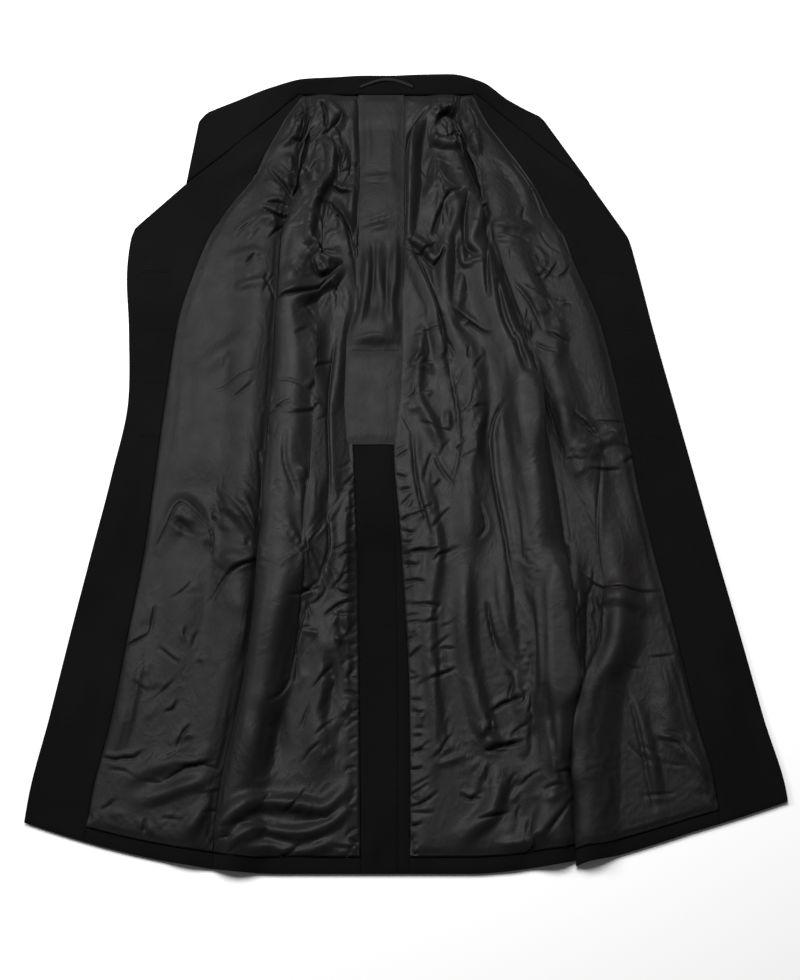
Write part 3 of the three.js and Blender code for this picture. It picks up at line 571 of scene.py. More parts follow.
def sleeve_bed(sleeve, x, up, below=BED_SLOPES["along"]):
    """How far a sleeve raises the coat: its thickness over its flat width, then one wall of it
    near the crown, sloping off all round and over "below" beyond the cuff."""
    t = np.clip((SLEEVE_MOUTH - up) / (SLEEVE_MOUTH - SLEEVE_CUFF), 0, 1)
    half = mix(sleeve["arm_half"], sleeve["cuff_half"], t)
    middle = mix(sleeve["arm_x"], sleeve["cuff_x"], t)
    across = bed(x - middle, half + BED_MARGIN, BED_SLOPES["sleeve"])
    half_length = (SLEEVE_CROWN - SLEEVE_CUFF) / 2
    from_middle = up - (SLEEVE_CROWN + SLEEVE_CUFF) / 2
    slope = np.where(from_middle < 0, below, BED_SLOPES["along"])
    along = bed(from_middle, half_length + 2.5 * BED_MARGIN, slope)
    one_wall = smooth_step(up, SLEEVE_MOUTH + 2, SLEEVE_MOUTH + 60)
    return (mix(SLEEVE_THICKNESS, SLEEVE_WALL, one_wall) + 2 * SEAM) * across * along


def button_bed(x, up):
    """How far the button rows raise the coat."""
    middle, half_row = np.mean(BUTTON_STATIONS), (BUTTON_STATIONS[0] - BUTTON_STATIONS[-1]) / 2
    along = bed(up - middle, half_row + BUTTON_RADIUS + 2.5 * BED_MARGIN, BED_SLOPES["along"])
    half = BUTTON_RADIUS + BED_MARGIN
    left = bed(x - edge_left(up) - BUTTON_INSET, half, BED_SLOPES["button"])
    right = bed(x - edge_right(up) + BUTTON_INSET, half, BED_SLOPES["button"])
    return (BUTTON_THICKNESS + 2 * SEAM) * along * np.maximum(left, right)


def soft_higher(a, b):
    """The higher of two beds, eased where they meet above the floor."""
    ease = np.clip(np.minimum(a, b), 0, BED_EASE)
    return np.maximum(a, b) + np.clip(ease - np.abs(a - b), 0, None) ** 2 / (4 * ease + 1e-6)


def collar_bed(x, up):
    """How far the collar's tucked fall raises the neck."""
    along = bed(up - COAT_LENGTH, COLLAR_BED["down"], BED_SLOPES["collar"])
    across = bed(x - COLLAR_BED["x"], COLLAR_BED["half"], BED_SLOPES["collar"])
    return (COLLAR_WALL + 2 * SEAM) * along * across


def wander(x, up):
    """Places pushed about by slow crossed waves of a few millimetres, so that no fold runs true:
    each is a sine along the one way, bent by a sine along the other."""
    far, wave, swing, cross = WANDER["x"]
    push_x = far * np.sin(up / wave + swing * np.sin(x / cross))
    far, wave, swing, cross = WANDER["up"]
    push_up = far * np.sin(x / wave + swing * np.sin(up / cross))
    return x + push_x, up + push_up


def along_curve(path, x, up, reach):
    """Which places lie within reach of a smooth curve through the places of a path. Returns their
    mask and, for those, the distance to the curve, positive on its left, how far along it they
    are, from 0 to 1, and the way to its left."""
    path = np.array(path, float)
    run = np.concatenate([[0], np.cumsum(np.linalg.norm(np.diff(path, axis=0), axis=1))])
    at = np.linspace(0, run[-1], 6 * len(path))
    curve = np.stack([smooth_curve(at, run, path[:, 0]), smooth_curve(at, run, path[:, 1])], -1)
    low, high = curve.min(0) - reach, curve.max(0) + reach
    near = (x > low[0]) & (x < high[0]) & (up > low[1]) & (up < high[1])
    step = np.diff(curve, axis=0)
    apart = np.stack([x[near], up[near]], -1)[:, None, :] - curve[:-1]
    share = np.clip((apart * step).sum(-1) / (step**2).sum(-1), 0, 1)
    off = apart - share[..., None] * step
    nearest = np.linalg.norm(off, axis=-1).argmin(1)
    each = np.arange(len(nearest))
    ahead = step[nearest] / np.linalg.norm(step[nearest], axis=-1, keepdims=True)
    left = np.stack([-ahead[:, 1], ahead[:, 0]], -1)
    off = off[each, nearest]
    side = np.where((off * left).sum(-1) < 0, -1, 1)
    along = (nearest + share[each, nearest]) / len(step)
    return near, side * np.linalg.norm(off, axis=-1), along, left


def fold_heights(folds, x, up):
    """The summed heights of soft folds over an array of places: each is a squared cosine across,
    rises and dies along the first and last fifth or so of its curve, and swells unevenly."""
    height = np.zeros_like(x)
    for fold in folds:
        near, side, along, _ = along_curve(fold.path, x, up, fold.half)
        ends = FOLD_ENDS / len(fold.path)
        fade = smooth_step(along, 0, ends) * smooth_step(1 - along, 0, ends)
        uneven = 1 + FOLD_SWELL * np.sin(3 * len(fold.path) * along + fold.path[0][0])
        height[near] += fold.height * ridge(side, fold.half) * fade * uneven
    return height


def coat_surface(x, up):
    """The underside of the coat's wool: the highest of the beds, with the side rolls and the low
    waves of the wool added. The rolls also lean sideways."""
    z = soft_higher(sleeve_bed(SLEEVES["left"], x, up), sleeve_bed(SLEEVES["right"], x, up))
    z = soft_higher(soft_higher(z, button_bed(x, up)), collar_bed(x, up))
    shift = np.zeros_like(z)
    for roll in ROLLS:
        off = smooth_curve(up, ROLL_UP, np.broadcast_to(roll["beside"], len(ROLL_UP)))
        hump = ridge(x - SIDE_SEAMS[roll["seam"]](up) - off, roll["half"])
        crest = smooth_curve(up, ROLL_UP, roll["crest"])
        z = z + crest * hump
        shift = shift + roll["lean"] * hump * crest / max(roll["crest"])
    z = z + fold_heights(WOOL_FOLDS, x, up + 0 * x)
    return np.stack([x + shift, up + 0 * x, z], -1)


def lay_cloth(x, up, lift):
    """Points moved out of the coat's surface by lift, along its normal with the sideways part
    halved, so that walls stay whole in the valleys beside the rolls."""
    step = 1.0
    across = coat_surface(x + step, up) - coat_surface(x - step, up)
    along = coat_surface(x, up + step) - coat_surface(x, up - step)
    out = np.cross(across, along) * np.array([0.5, 0.5, 1.0])
    out /= np.linalg.norm(out, axis=-1, keepdims=True)
    return coat_surface(x, up) + out * np.asarray(lift)[..., None]


def hem_rise(x):
    """The hem's curve at x: a power of the way out to each front corner."""
    left, right = HEM_CURVE["left"], HEM_CURVE["right"]
    out_left = np.clip((left["start"] - x) / left["reach"], 0, None)
    out_right = np.clip((x - right["start"]) / right["reach"], 0, None)
    return left["rise"] * out_left ** left["power"] + right["rise"] * out_right ** right["power"]


def row_height(x, row, overhang):
    """The place up from the hem of a row: it follows the hem's curve, less and less higher up."""
    follow = np.clip(1 - row / HEM_CURVE_FADES, 0, None)
    past = np.clip(1 - (x - side_right(np.zeros(1))) / FRONT_OVERHANG["reach"], 0, 1)
    drop = FRONT_OVERHANG["drop"] * past if overhang else 0.0
    return row + (hem_rise(x) - drop) * follow


# ---------------------------------------------------------------- grids and meshes


def spread(count, margin):
    """Places along a side, each as a share of it and a fixed offset: evenly spread, with two more
    at each end if there is a margin, where the cloth's edge rounds off."""
    share = np.linspace(0, 1, count)
    if not margin:
        return share, np.zeros(count)
    close = np.array([0.0, 0.35 * margin])
    offset = np.concatenate([close, margin * (1 - 2 * share), -close[::-1]])
    return np.concatenate([[0, 0], share, [1, 1]]), offset


def panel_grid(left, right, bottom, top, spacing, overhang=False, margin=0.0):
    """A grid of places between two lines of the plan, in rows that follow the hem low down."""
    heights = np.linspace(bottom, top, 60)
    widest = np.max(right(heights) - left(heights))
    part, offset = spread(max(3, round(widest / spacing) + 1), margin)
    row_part, row_offset = spread(max(3, round((top - bottom) / spacing) + 1), margin)
    level = (mix(bottom, top, row_part) + row_offset)[:, None]
    rough = left(level) + (right(level) - left(level)) * part + offset
    up = row_height(rough, level, overhang)
    x = left(up) + (right(up) - left(up)) * part + offset
    return x, up


def border_distance(x, up):
    """For each place of a grid, its distance to the nearest border of the grid, measured along
    the rows and columns."""
    across = np.cumsum(np.hypot(np.diff(x, axis=1), np.diff(up, axis=1)), axis=1)
    across = np.pad(across, ((0, 0), (1, 0)))
    along = np.cumsum(np.hypot(np.diff(x, axis=0), np.diff(up, axis=0)), axis=0)
    along = np.pad(along, ((1, 0), (0, 0)))
    sides = [across, across[:, -1:] - across, along, along[-1:] - along]
    return np.minimum.reduce(sides), sides


def to_frame(points):
    """Garment millimetres to the frame's metres."""
    return (np.asarray(points) - MIDDLE) * MM


def make_mesh(name, points, faces, places, material):
    """A smooth mesh from frame points and quads, with the cloth's own places, in metres, as its
    UV map."""
    mesh = bpy.data.meshes.new(name)
    mesh.from_pydata(points.tolist(), [], faces.tolist())
    mesh.polygons.foreach_set("use_smooth", np.ones(len(faces), bool))
    uv = mesh.uv_layers.new(name="cloth")
    corners = np.empty(len(mesh.loops), np.int32)
    mesh.loops.foreach_get("vertex_index", corners)
    uv.data.foreach_set("uv", (np.asarray(places)[corners] * MM).astype(np.float32).ravel())
    mesh.materials.append(material)
    piece = bpy.data.objects.new(name, mesh)
    bpy.context.scene.collection.objects.link(piece)
    return piece


def grid_faces(index):
    """Quads over a grid of vertex numbers, facing out where rows run away and columns right."""
    corners = [index[:-1, :-1], index[:-1, 1:], index[1:, 1:], index[1:, :-1]]
    return np.stack(corners, -1).reshape(-1, 4)


def close_wall(name, outer, inner, places, material):
    """A closed wall of cloth from the grids of its outer and inner face. They share their border,
    where both lie at the middle of the thickness."""
    rows, columns = outer.shape[:2]
    count = rows * columns
    over = np.arange(count).reshape(rows, columns)
    under = over.copy()
    under[1:-1, 1:-1] = count + np.arange((rows - 2) * (columns - 2)).reshape(rows - 2, columns - 2)
    points = np.concatenate([outer.reshape(-1, 3), inner[1:-1, 1:-1].reshape(-1, 3)])
    flat = np.concatenate([places.reshape(-1, 2), places[1:-1, 1:-1].reshape(-1, 2)])
    faces = np.concatenate([grid_faces(over), grid_faces(under)[:, ::-1]])
    return make_mesh(name, to_frame(points), faces, flat, material)


def rounded(distance, thickness):
    """The share of the half thickness at a distance from the border: a quarter circle."""
    t = np.clip(1 - distance / (thickness / 2), 0, 1)
    return np.sqrt(1 - t * t)


def wool_panel(name, left, right, bottom, top, under, material, overhang=False):
    """A wool panel over the coat's surface: a wall WOOL thick that starts "under" above it, with
    its border rounded off."""
    x, up = panel_grid(left, right, bottom, top, WOOL_GRID, overhang, margin=WOOL / 2)
    distance, _ = border_distance(x, up)
    share = rounded(distance, WOOL) * WOOL / 2
    middle = under + WOOL / 2
    outer = lay_cloth(x, up, middle + share)
    inner = lay_cloth(x, up, middle - share)
    return close_wall(name, outer, inner, np.stack([x, up], -1), material)


# ---------------------------------------------------------------- the linings


def lining_sheet(left, right, overhang, bottom=HEM_TURN - LINING_LAP, top=COAT_LENGTH - 1):
    """The grid of a lining panel before it is settled. It floats over the wool with an ease that
    grows away from its seams, with its folds on that, and bridges the step at the cuffs. The fold
    at the side seam runs on across it. The lower edge laps over the turned hem. Also returns the
    ground it can sink to."""
    x, up = panel_grid(left, right, bottom, top, LINING_GRID, overhang)
    _, sides = border_distance(x, up)
    held = np.minimum.reduce([smooth_step(side, 0, SEAM_FADE) for side in sides])
    folds = fold_heights(BACK_FOLDS + ARMHOLE_FOLDS + FRONT_FOLDS + SMALL_FOLDS, *wander(x, up))
    loft = held * np.logaddexp((LINING_EASE + folds) / LOFT_SOFT, 0) * LOFT_SOFT
    loft = loft + fold_heights(SEAM_FOLDS, x, up) * smooth_step(sides[2], 0, SEAM_FADE)
    for sleeve in SLEEVES.values():
        loft = loft + held * (sleeve_bed(sleeve, x, up, CUFF_BRIDGE) - sleeve_bed(sleeve, x, up))
    on_hem = 1 - smooth_step(sides[2], LINING_LAP, LINING_LAP + 10)
    lift = WOOL + LINING_FLOAT + loft + on_hem * (WOOL + 2 * SEAM)
    ground = np.maximum(lift - SETTLE["drop"], WOOL)
    return x, up, lay_cloth(x, up, lift), lay_cloth(x, up, ground)


def finer(grid):
    """A grid with a row and a column between each two: each new point is (9(b + c) - a - d) / 16
    of its four neighbours in line."""

    def along_rows(g):
        before = np.concatenate([2 * g[:1] - g[1:2], g[:-1]])
        after = np.concatenate([g[1:], 2 * g[-1:] - g[-2:-1]])
        between = (9 * (g[:-1] + g[1:]) - before[:-1] - after[1:]) / 16
        out = np.empty((2 * len(g) - 1, *g.shape[1:]))
        out[::2], out[1::2] = g, between
        return out

    return np.swapaxes(along_rows(np.swapaxes(along_rows(grid), 0, 1)), 0, 1)


def grid_normals(points):
    """Unit normals of a grid, from the differences along its rows and columns."""
    normal = np.cross(np.gradient(points, axis=1), np.gradient(points, axis=0))
    return normal / np.maximum(np.linalg.norm(normal, axis=-1, keepdims=True), 1e-9)


def press_creases(points, creases, x, up):
    """Sharp creases pressed into a grid of points. With s the distance from the crease over its
    half width, its floor falls as (1 - |s|)^2, and the lip on its left rises and leans over it as
    a squared cosine."""
    points = points.copy()
    for crease in creases:
        half = CREASE["half"] * (CREASE["least"] + crease.depth / CREASE["deep"])
        near, side, along, left = along_curve(crease.path, x, up, CREASE["reach"] * half)
        fade = np.sin(np.pi * along) ** CREASE["fade"] * crease.depth
        floor = CREASE["floor"] * np.clip(1 - np.abs(side) / half, 0, 1) ** 2
        lip = ridge(side - CREASE["lip_off"] * half, CREASE["lip_half"] * half)
        points[near, 2] += fade * (CREASE["lip"] * lip - floor)
        points[near, :2] -= (CREASE["lean"] * fade * lip)[:, None] * left
    return points


def seam_tucks(line, way, bottom, top, seed):
    """Short slanting creases where a lining is sewn down along a line, on one side of it. They are
    uneven in spacing, length, slant and depth."""
    random = np.random.default_rng(seed)
    tucks, up = [], bottom + 10
    while up < top - 12:
        length, slant = random.uniform(9, 30), random.uniform(0.1, 1.1)
        x = float(line(np.array(up))) + way * random.uniform(2, 5)
        rise = way * random.choice([1, 1, -0.4]) * length * math.sin(slant)
        end = (x + way * length * math.cos(slant), up + rise)
        bend = ((x + end[0]) / 2, (up + end[1]) / 2 + random.uniform(-3, 3))
        tucks.append(Crease(((x, up), bend, end), random.uniform(1.4, 4.2)))
        up += random.uniform(7, 26)
    return tucks


def crinkles(patches, seed):
    """Small uneven folds and creases scattered over the rumpled patches, most of them along a
    patch's main way. Returns both lists."""
    random = np.random.default_rng(seed)
    folds, creases = [], []
    for patch in patches:
        for _ in range(int(patch.half_x * patch.half_up * patch.spare * CRINKLES)):
            turn, reach = random.uniform(0, 2 * math.pi), math.sqrt(random.uniform(0, 1))
            place = np.array([patch.x + patch.half_x * reach * math.cos(turn),
                              patch.up + patch.half_up * reach * math.sin(turn)])
            way = math.radians(patch.turn + random.normal(0, 28))
            half_run = random.uniform(7, 24) * np.array([math.cos(way), math.sin(way)])
            bend = place + random.normal(0, 2.5, 2)
            path = tuple(map(tuple, (place - half_run, bend, place + half_run)))
            if random.uniform() < 0.5:
                folds.append(Fold(path, random.uniform(5.5, 10), random.uniform(-2.5, 4)))
            else:
                creases.append(Crease(path, random.uniform(0.8, 3.6)))
    return tuple(folds), tuple(creases)


def spare_cloth(x, up, sides):
    """The share by which the lining is longer than its place, over a grid: a little everywhere,
    more near its seams and most in the rumpled patches."""
    spare = SPARE["all"] + SPARE["seams"] * np.exp(-np.minimum.reduce(sides) / SPARE["reach"])
    for patch in RUMPLES:
        apart = np.hypot((x - patch.x) / patch.half_x, (up - patch.up) / patch.half_up)
        spare = np.maximum(spare, patch.spare * (1 - smooth_step(apart, 0.3, 1.1)))
    return spare


SMALL_FOLDS, SMALL_CREASES = crinkles(RUMPLES, 23)


def vertex_weights(piece, name, weights):
    """A vertex group holding an array of weights from 0 to 1, in even steps."""
    group = piece.vertex_groups.new(name=name)
    steps = np.round(np.clip(weights.ravel(), 0, 1) * WEIGHT_STEPS).astype(int)
    for step in np.unique(steps):
        group.add(np.flatnonzero(steps == step).tolist(), step / WEIGHT_STEPS, "REPLACE")
    return name


def grid_mesh(name, points):
    """An open mesh of a grid of points, used only while a lining settles."""
    index = np.arange(points.shape[0] * points.shape[1]).reshape(points.shape[:2])
    flat = points.reshape(-1, 3)
    return make_mesh(name, to_frame(flat), grid_faces(index), flat[:, :2], DRAFT)


def settle(name, points, ground, seams, spare):
    """A lining laid down by Blender's cloth simulation on its ground, the wool. Its seams are
    pinned, and it is longer than its place by the spare share, so it wrinkles there."""
    sheet, floor = grid_mesh(name + "_loose", points), grid_mesh(name + "_ground", ground)
    floor.modifiers.new("Collision", "COLLISION")
    floor.collision.thickness_outer = SETTLE["skin"]
    floor.collision.cloth_friction = SETTLE["friction"]
    cloth = sheet.modifiers.new("Cloth", "CLOTH")
    settings, contact = cloth.settings, cloth.collision_settings
    settings.quality = SETTLE["quality"]
    settings.mass = SETTLE["mass"]
    settings.tension_stiffness = settings.compression_stiffness = SETTLE["stiffness"]
    settings.shear_stiffness = SETTLE["shear"]
    settings.bending_stiffness = SETTLE["bending"]
    settings.vertex_group_mass = vertex_weights(sheet, "seams", seams)
    settings.vertex_group_shrink = vertex_weights(sheet, "spare", spare / spare.max())
    settings.shrink_min, settings.shrink_max = 0.0, -float(spare.max()) * SETTLE["spare"]
    contact.distance_min = SETTLE["apart"]
    contact.collision_quality = SETTLE["contacts"]
    contact.use_self_collision = False
    cloth.point_cache.frame_start, cloth.point_cache.frame_end = 1, SETTLE["frames"]
    for step in range(1, SETTLE["frames"] + 1):
        bpy.context.scene.frame_set(step)
    laid = sheet.evaluated_get(bpy.context.evaluated_depsgraph_get()).to_mesh()
    places = np.empty(3 * points.shape[0] * points.shape[1], np.float32)
    laid.vertices.foreach_get("co", places)
    for draft in (sheet, floor):
        bpy.data.objects.remove(draft)
    bpy.context.scene.frame_set(1)
    return places.reshape(points.shape).astype(float) / MM + MIDDLE


def lining_panel(name, left, right, overhang, material, tucks):
    """A lining panel: laid out, settled, made finer, creased and given a thickness. Its underside
    stays above the wool, and what stands above CLOTH_TOP is softly flattened off."""
    x, up, points, ground = lining_sheet(left, right, overhang)
    _, sides = border_distance(x, up)
    seams = np.pad(np.zeros((x.shape[0] - 2, x.shape[1] - 2)), 1, constant_values=1.0)
    points = settle(name, points, ground, seams, spare_cloth(x, up, sides))
    points, x, up = finer(points), finer(x), finer(up)
    creases = BACK_CREASES + ARMHOLE_CREASES + FRONT_CREASES + SMALL_CREASES + tuple(tucks)
    points = press_creases(points, creases, *wander(x, up))
    least = lay_cloth(x, up, np.full(x.shape, WOOL + LINING + LINING_REST))[..., 2]
    points[..., 2] = np.maximum(points[..., 2], least)
    high = np.clip(points[..., 2] - CLOTH_TOP, 0, None)
    points[..., 2] -= high * high / (high + CLOTH_TOP_SOFT)
    inner = points - grid_normals(points) * LINING
    return close_wall(name, points, inner, np.stack([x, up], -1), material)


def strip_panel(name, left, right, bottom, top, material):
    """A narrow panel of lining over the vent or down the back: flat, a little puffed across, on
    top of the back linings."""
    x, up = panel_grid(left, right, bottom, top, STRIP["grid"], margin=STRIP["rim"])
    distance, _ = border_distance(x, up)
    loft = STRIP["stand"] + STRIP["puff"] * smooth_step(distance, 0, STRIP["puff_over"])
    loft = loft + fold_heights(STRIP_FOLDS, x, up) * smooth_step(distance, 0, STRIP["fold_over"])
    share = rounded(distance, STRIP["round"]) * LINING / 2
    walls = [lay_cloth(x, up, WOOL + loft + way * share) for way in (1, -1)]
    outer, inner = (press_creases(wall, STRIP_CREASES, x, up) for wall in walls)
    return close_wall(name, outer, inner, np.stack([x, up], -1), material)


# ---------------------------------------------------------------- collar, hanger and sleeves


def collar_station(s):
    """The collar at place s along it: its seam, the way out, the reach of the stand, the radius
    of the roll, the tuck and the heights. The seam runs straight between the stations, and the
    rest in smooth curves."""
    at = np.arange(len(COLLAR_LINE["lift"]))
    seam = np.stack([np.interp(s, at, COLLAR_LINE[key]) for key in ("seam_x", "seam_up")], -1)
    out = np.stack([smooth_curve(s, at, COLLAR_LINE[key]) for key in ("out_x", "out_up")], -1)
    length = np.linalg.norm(out - seam, axis=-1)
    to_end = np.minimum(s, 2 * (at[-1] - s)) / COLLAR_CORNER["over"]
    length = length - COLLAR_CORNER["cut"] * np.clip(1 - to_end, 0, 1) ** 2
    away = (out - seam) / np.linalg.norm(out - seam, axis=-1)[..., None]
    lift = smooth_curve(s, at, COLLAR_LINE["lift"])
    radius = mix(COLLAR_ROLL["ends"], COLLAR_ROLL["back"], lift)
    half = COLLAR_WALL / 2
    return {
        "seam": seam, "away": away, "reach": length - radius - half,
        "radius": radius, "tuck": smooth_curve(s, at, COLLAR_LINE["tuck"]),
        "seam_z": half + lift * (COLLAR_WALL + 2 * SEAM), "roll_z": half + 2 * radius,
    }


def collar_point(s, d, off):
    """A point of the collar at distance d from its seam and "off" out of the middle of its wall:
    straight over the stand, a half circle round the roll, then straight back along the floor."""
    c = collar_station(s)
    angle = np.clip((d - c["reach"]) / c["radius"], 0, np.pi)
    back = np.clip(d - c["reach"] - np.pi * c["radius"], 0, None)
    run = np.minimum(d, c["reach"])
    q = run + c["radius"] * np.sin(angle) - back
    z = mix(c["seam_z"], c["roll_z"], run / c["reach"]) - c["radius"] * (1 - np.cos(angle))
    upright = np.clip((d - COLLAR_SET) / (2 * COLLAR_WALL), 0, 1)
    slope = np.arctan2(c["roll_z"] - c["seam_z"], c["reach"])
    tilt = np.where(angle == 0, -slope * upright * (1 - run / c["reach"]), angle)
    place = c["seam"] + c["away"] * (q + off * np.sin(tilt))[..., None]
    return np.concatenate([place, (z + off * np.cos(tilt))[..., None]], -1)


def collar_piece(material):
    """The collar as one closed wall, rounded along its border, with low waves in the cloth."""
    last = len(COLLAR_LINE["lift"]) - 1
    close = np.array([0.0, 0.008, 0.024])
    s = np.concatenate([close, np.linspace(0.06, last - 0.06, 115), last - close[::-1]])[:, None]
    c = collar_station(s)
    stand = np.concatenate([[0, 0.02, 0.06], np.linspace(0.12, 1, 15)])
    turn = np.linspace(0, 1, 9)[1:]
    fall = np.linspace(0, 1, 10)[1:]
    run = mix(COLLAR_SET, c["reach"], stand[None, :])
    bend = c["reach"] + np.pi * c["radius"] * turn[None, :]
    hang = c["reach"] + np.pi * c["radius"] + c["tuck"] * fall[None, :]
    d = np.concatenate([run, bend, hang], 1)
    s = np.broadcast_to(s, d.shape)
    to_end = np.minimum(s, last - s) * COLLAR_END
    to_edge = np.minimum(d - COLLAR_SET, d[:, -1:] - d)
    share = rounded(np.minimum(to_end, to_edge), COLLAR_WALL)
    wave = COLLAR_WAVE["height"] * np.sin(s * COLLAR_WAVE["along"] + COLLAR_WAVE["start"])
    wave = wave * np.sin(d / COLLAR_WAVE["across"]) * (share > 0.99) * (d < c["reach"])
    outer = collar_point(s, d, share * COLLAR_WALL / 2 + wave)
    inner = collar_point(s, d, -share * COLLAR_WALL / 2)
    outer, inner, d, s = (np.flip(g, 0) for g in (outer, inner, d, s))
    places = np.stack([s * COLLAR_STEP, d + COAT_LENGTH], -1)
    outer, inner, places = (np.swapaxes(g, 0, 1)[:, ::-1] for g in (outer, inner, places))
    return close_wall("collar_wool", outer, inner, places, material)


def hanger_piece(material):
    """The hanger loop: a narrow folded strap in a flat arch on the collar stand."""
    t = np.linspace(0, 1, 41)[None, :]
    v = np.array([-0.5, -0.46, -0.3, 0.0, 0.3, 0.46, 0.5])[:, None]
    s = mix(HANGER["from"], HANGER["to"], t)
    d = mix(HANGER["ends"], HANGER["middle"], np.sin(np.pi * t)) + v * HANGER["width"]
    s = np.broadcast_to(s, d.shape)
    rest = COLLAR_WALL / 2 + SEAM
    half = HANGER["thickness"] / 2
    swell = half * np.sqrt(1 - (2 * np.broadcast_to(v, d.shape)) ** 2 * 0.999)
    swell[:, [0, -1]] = 0.0
    places = np.stack([s * COLLAR_STEP, d], -1)
    return close_wall("hanger_strap", collar_point(s, d, rest + half + swell),
                      collar_point(s, d, rest + half - swell), places, material)


def sleeve_piece(name, sleeve, material):
    """A sleeve pressed flat: a tube whose section is a circle stretched by SLEEVE_FLAT and cut off
    at its sides, cut slanting at its mouth so that the lower wall runs on to the crown, with a
    wall SLEEVE_WALL thick."""
    half = SLEEVE_THICKNESS / 2
    turn = np.linspace(0, 2 * np.pi, 65)[:-1]
    length = np.linspace(0, 1, 61)[:, None]
    upper = mix(SLEEVE_MOUTH, SLEEVE_CUFF, length)
    lower = mix(SLEEVE_CROWN, SLEEVE_CUFF, length)
    shells = []
    for inset in (0.0, SLEEVE_WALL):
        flat = np.clip(SLEEVE_FLAT * np.cos(turn), -1, 1)
        tall = np.clip(SLEEVE_FLAT * np.sin(turn), -1, 1)
        share = np.clip(tall + 1, 0, 1)
        along = mix(lower, upper, share[None, :])
        t = np.clip((SLEEVE_MOUTH - along) / (SLEEVE_MOUTH - SLEEVE_CUFF), 0, 1)
        crown = smooth_step(along, SLEEVE_MOUTH - 20, SLEEVE_CROWN)
        width = mix(sleeve["arm_half"], sleeve["cuff_half"], t)
        width = mix(width, sleeve["crown_half"], crown) - inset
        middle = mix(sleeve["arm_x"], sleeve["cuff_x"], t)
        z = half + (half - inset) * np.broadcast_to(tall, along.shape)
        shells.append(np.stack([middle + flat * width, along, z], -1))
    outer, inner = shells
    rings, count = outer.shape[:2]
    points = np.concatenate([outer.reshape(-1, 3), inner.reshape(-1, 3)])
    number = np.arange(rings * count).reshape(rings, count)
    number = np.concatenate([number, number[:, :1]], 1)
    inside = number + rings * count
    rims = [np.stack([inside[0], number[0]]), np.stack([number[-1], inside[-1]])]
    faces = [grid_faces(number), grid_faces(inside)[:, ::-1], *(grid_faces(rim) for rim in rims)]
    places = np.concatenate([g[..., :2].reshape(-1, 2) for g in shells])
    return make_mesh(name, to_frame(points), np.concatenate(faces)[:, ::-1], places, material)


# ---------------------------------------------------------------- sewing


def thread_rows(name, starts, ends, radius, material, sides=5, rings=5):
    """Many short stitches as one mesh. Each is a little arch of thread from its start to its end:
    a ring of points carried along a half sine, thinning to nothing at both ends."""
    starts, ends = np.asarray(starts, float), np.asarray(ends, float)
    run = ends - starts
    length = np.linalg.norm(run, axis=1, keepdims=True)
    ahead = run / length
    beside = np.cross(ahead, [0, 0, 1.0])
    beside /= np.linalg.norm(beside, axis=1, keepdims=True)
    over = np.cross(beside, ahead)
    t = np.linspace(0, 1, rings)
    thick = radius * np.sqrt(np.clip(1 - (2 * t - 1) ** 2, 0.02, 1))
    angle = np.linspace(0, 2 * np.pi, sides + 1)[:-1]
    centre = starts[:, None] + run[:, None] * t[None, :, None]
    centre = centre + over[:, None] * (radius * THREAD_RISE * np.sin(np.pi * t))[None, :, None]
    ring = (beside[:, None, None] * np.cos(angle)[None, None, :, None]
            + over[:, None, None] * np.sin(angle)[None, None, :, None])
    points = centre[:, :, None] + ring * thick[None, :, None, None]
    per = rings * sides
    number = np.arange(per).reshape(rings, sides)
    number = np.concatenate([number, number[:, :1]], 1)
    quads = grid_faces(number)
    faces = (quads[None] + per * np.arange(len(starts))[:, None, None]).reshape(-1, 4)
    flat = points.reshape(-1, 3)
    caps = [[*number[0, :-1][::-1]], [*number[-1, :-1]]]
    cap_faces = [[int(k) + per * i for k in cap] for i in range(len(starts)) for cap in caps]
    outward = faces[:, ::-1].tolist() + [face[::-1] for face in cap_faces]
    mesh = bpy.data.meshes.new(name)
    mesh.from_pydata(to_frame(flat).tolist(), [], outward)
    mesh.polygons.foreach_set("use_smooth", np.ones(len(mesh.polygons), bool))
    mesh.materials.append(material)
    piece = bpy.data.objects.new(name, mesh)
    bpy.context.scene.collection.objects.link(piece)
    return piece


def buttonhole_threads(x, up, side, lift):
    """The stitches of one worked buttonhole: short ones across both lips of the slit, a fan round
    its eyelet and a bar at its other end. Returns their starts and ends."""
    xs = x + side * np.arange(0, HOLE_LENGTH, HOLE_STITCHES["pitch"])
    starts, ends = [], []
    for way in (-1, 1):
        starts.append(np.stack([xs, up + way * HOLE_STITCHES["slit"] + 0 * xs], -1))
        ends.append(np.stack([xs, up + way * HOLE_STITCHES["lip"] + 0 * xs], -1))
    fan = np.linspace(-0.75 * np.pi, 0.75 * np.pi, 15) + (np.pi if side > 0 else 0)
    eye = np.stack([np.cos(fan), np.sin(fan)], -1)
    bar = np.linspace(-HOLE_STITCHES["bar"], HOLE_STITCHES["bar"], 6)
    bar_x = x + side * HOLE_LENGTH + 0 * bar
    for found, radius, run in zip((starts, ends), HOLE_STITCHES["eye"], HOLE_STITCHES["bar_run"]):
        found.append(np.array([x, up]) + eye * radius)
        found.append(np.stack([bar_x + run, up + bar], -1))
    places = [np.concatenate(starts), np.concatenate(ends)]
    return [lay_cloth(p[:, 0], p[:, 1], np.full(len(p), lift)) for p in places]


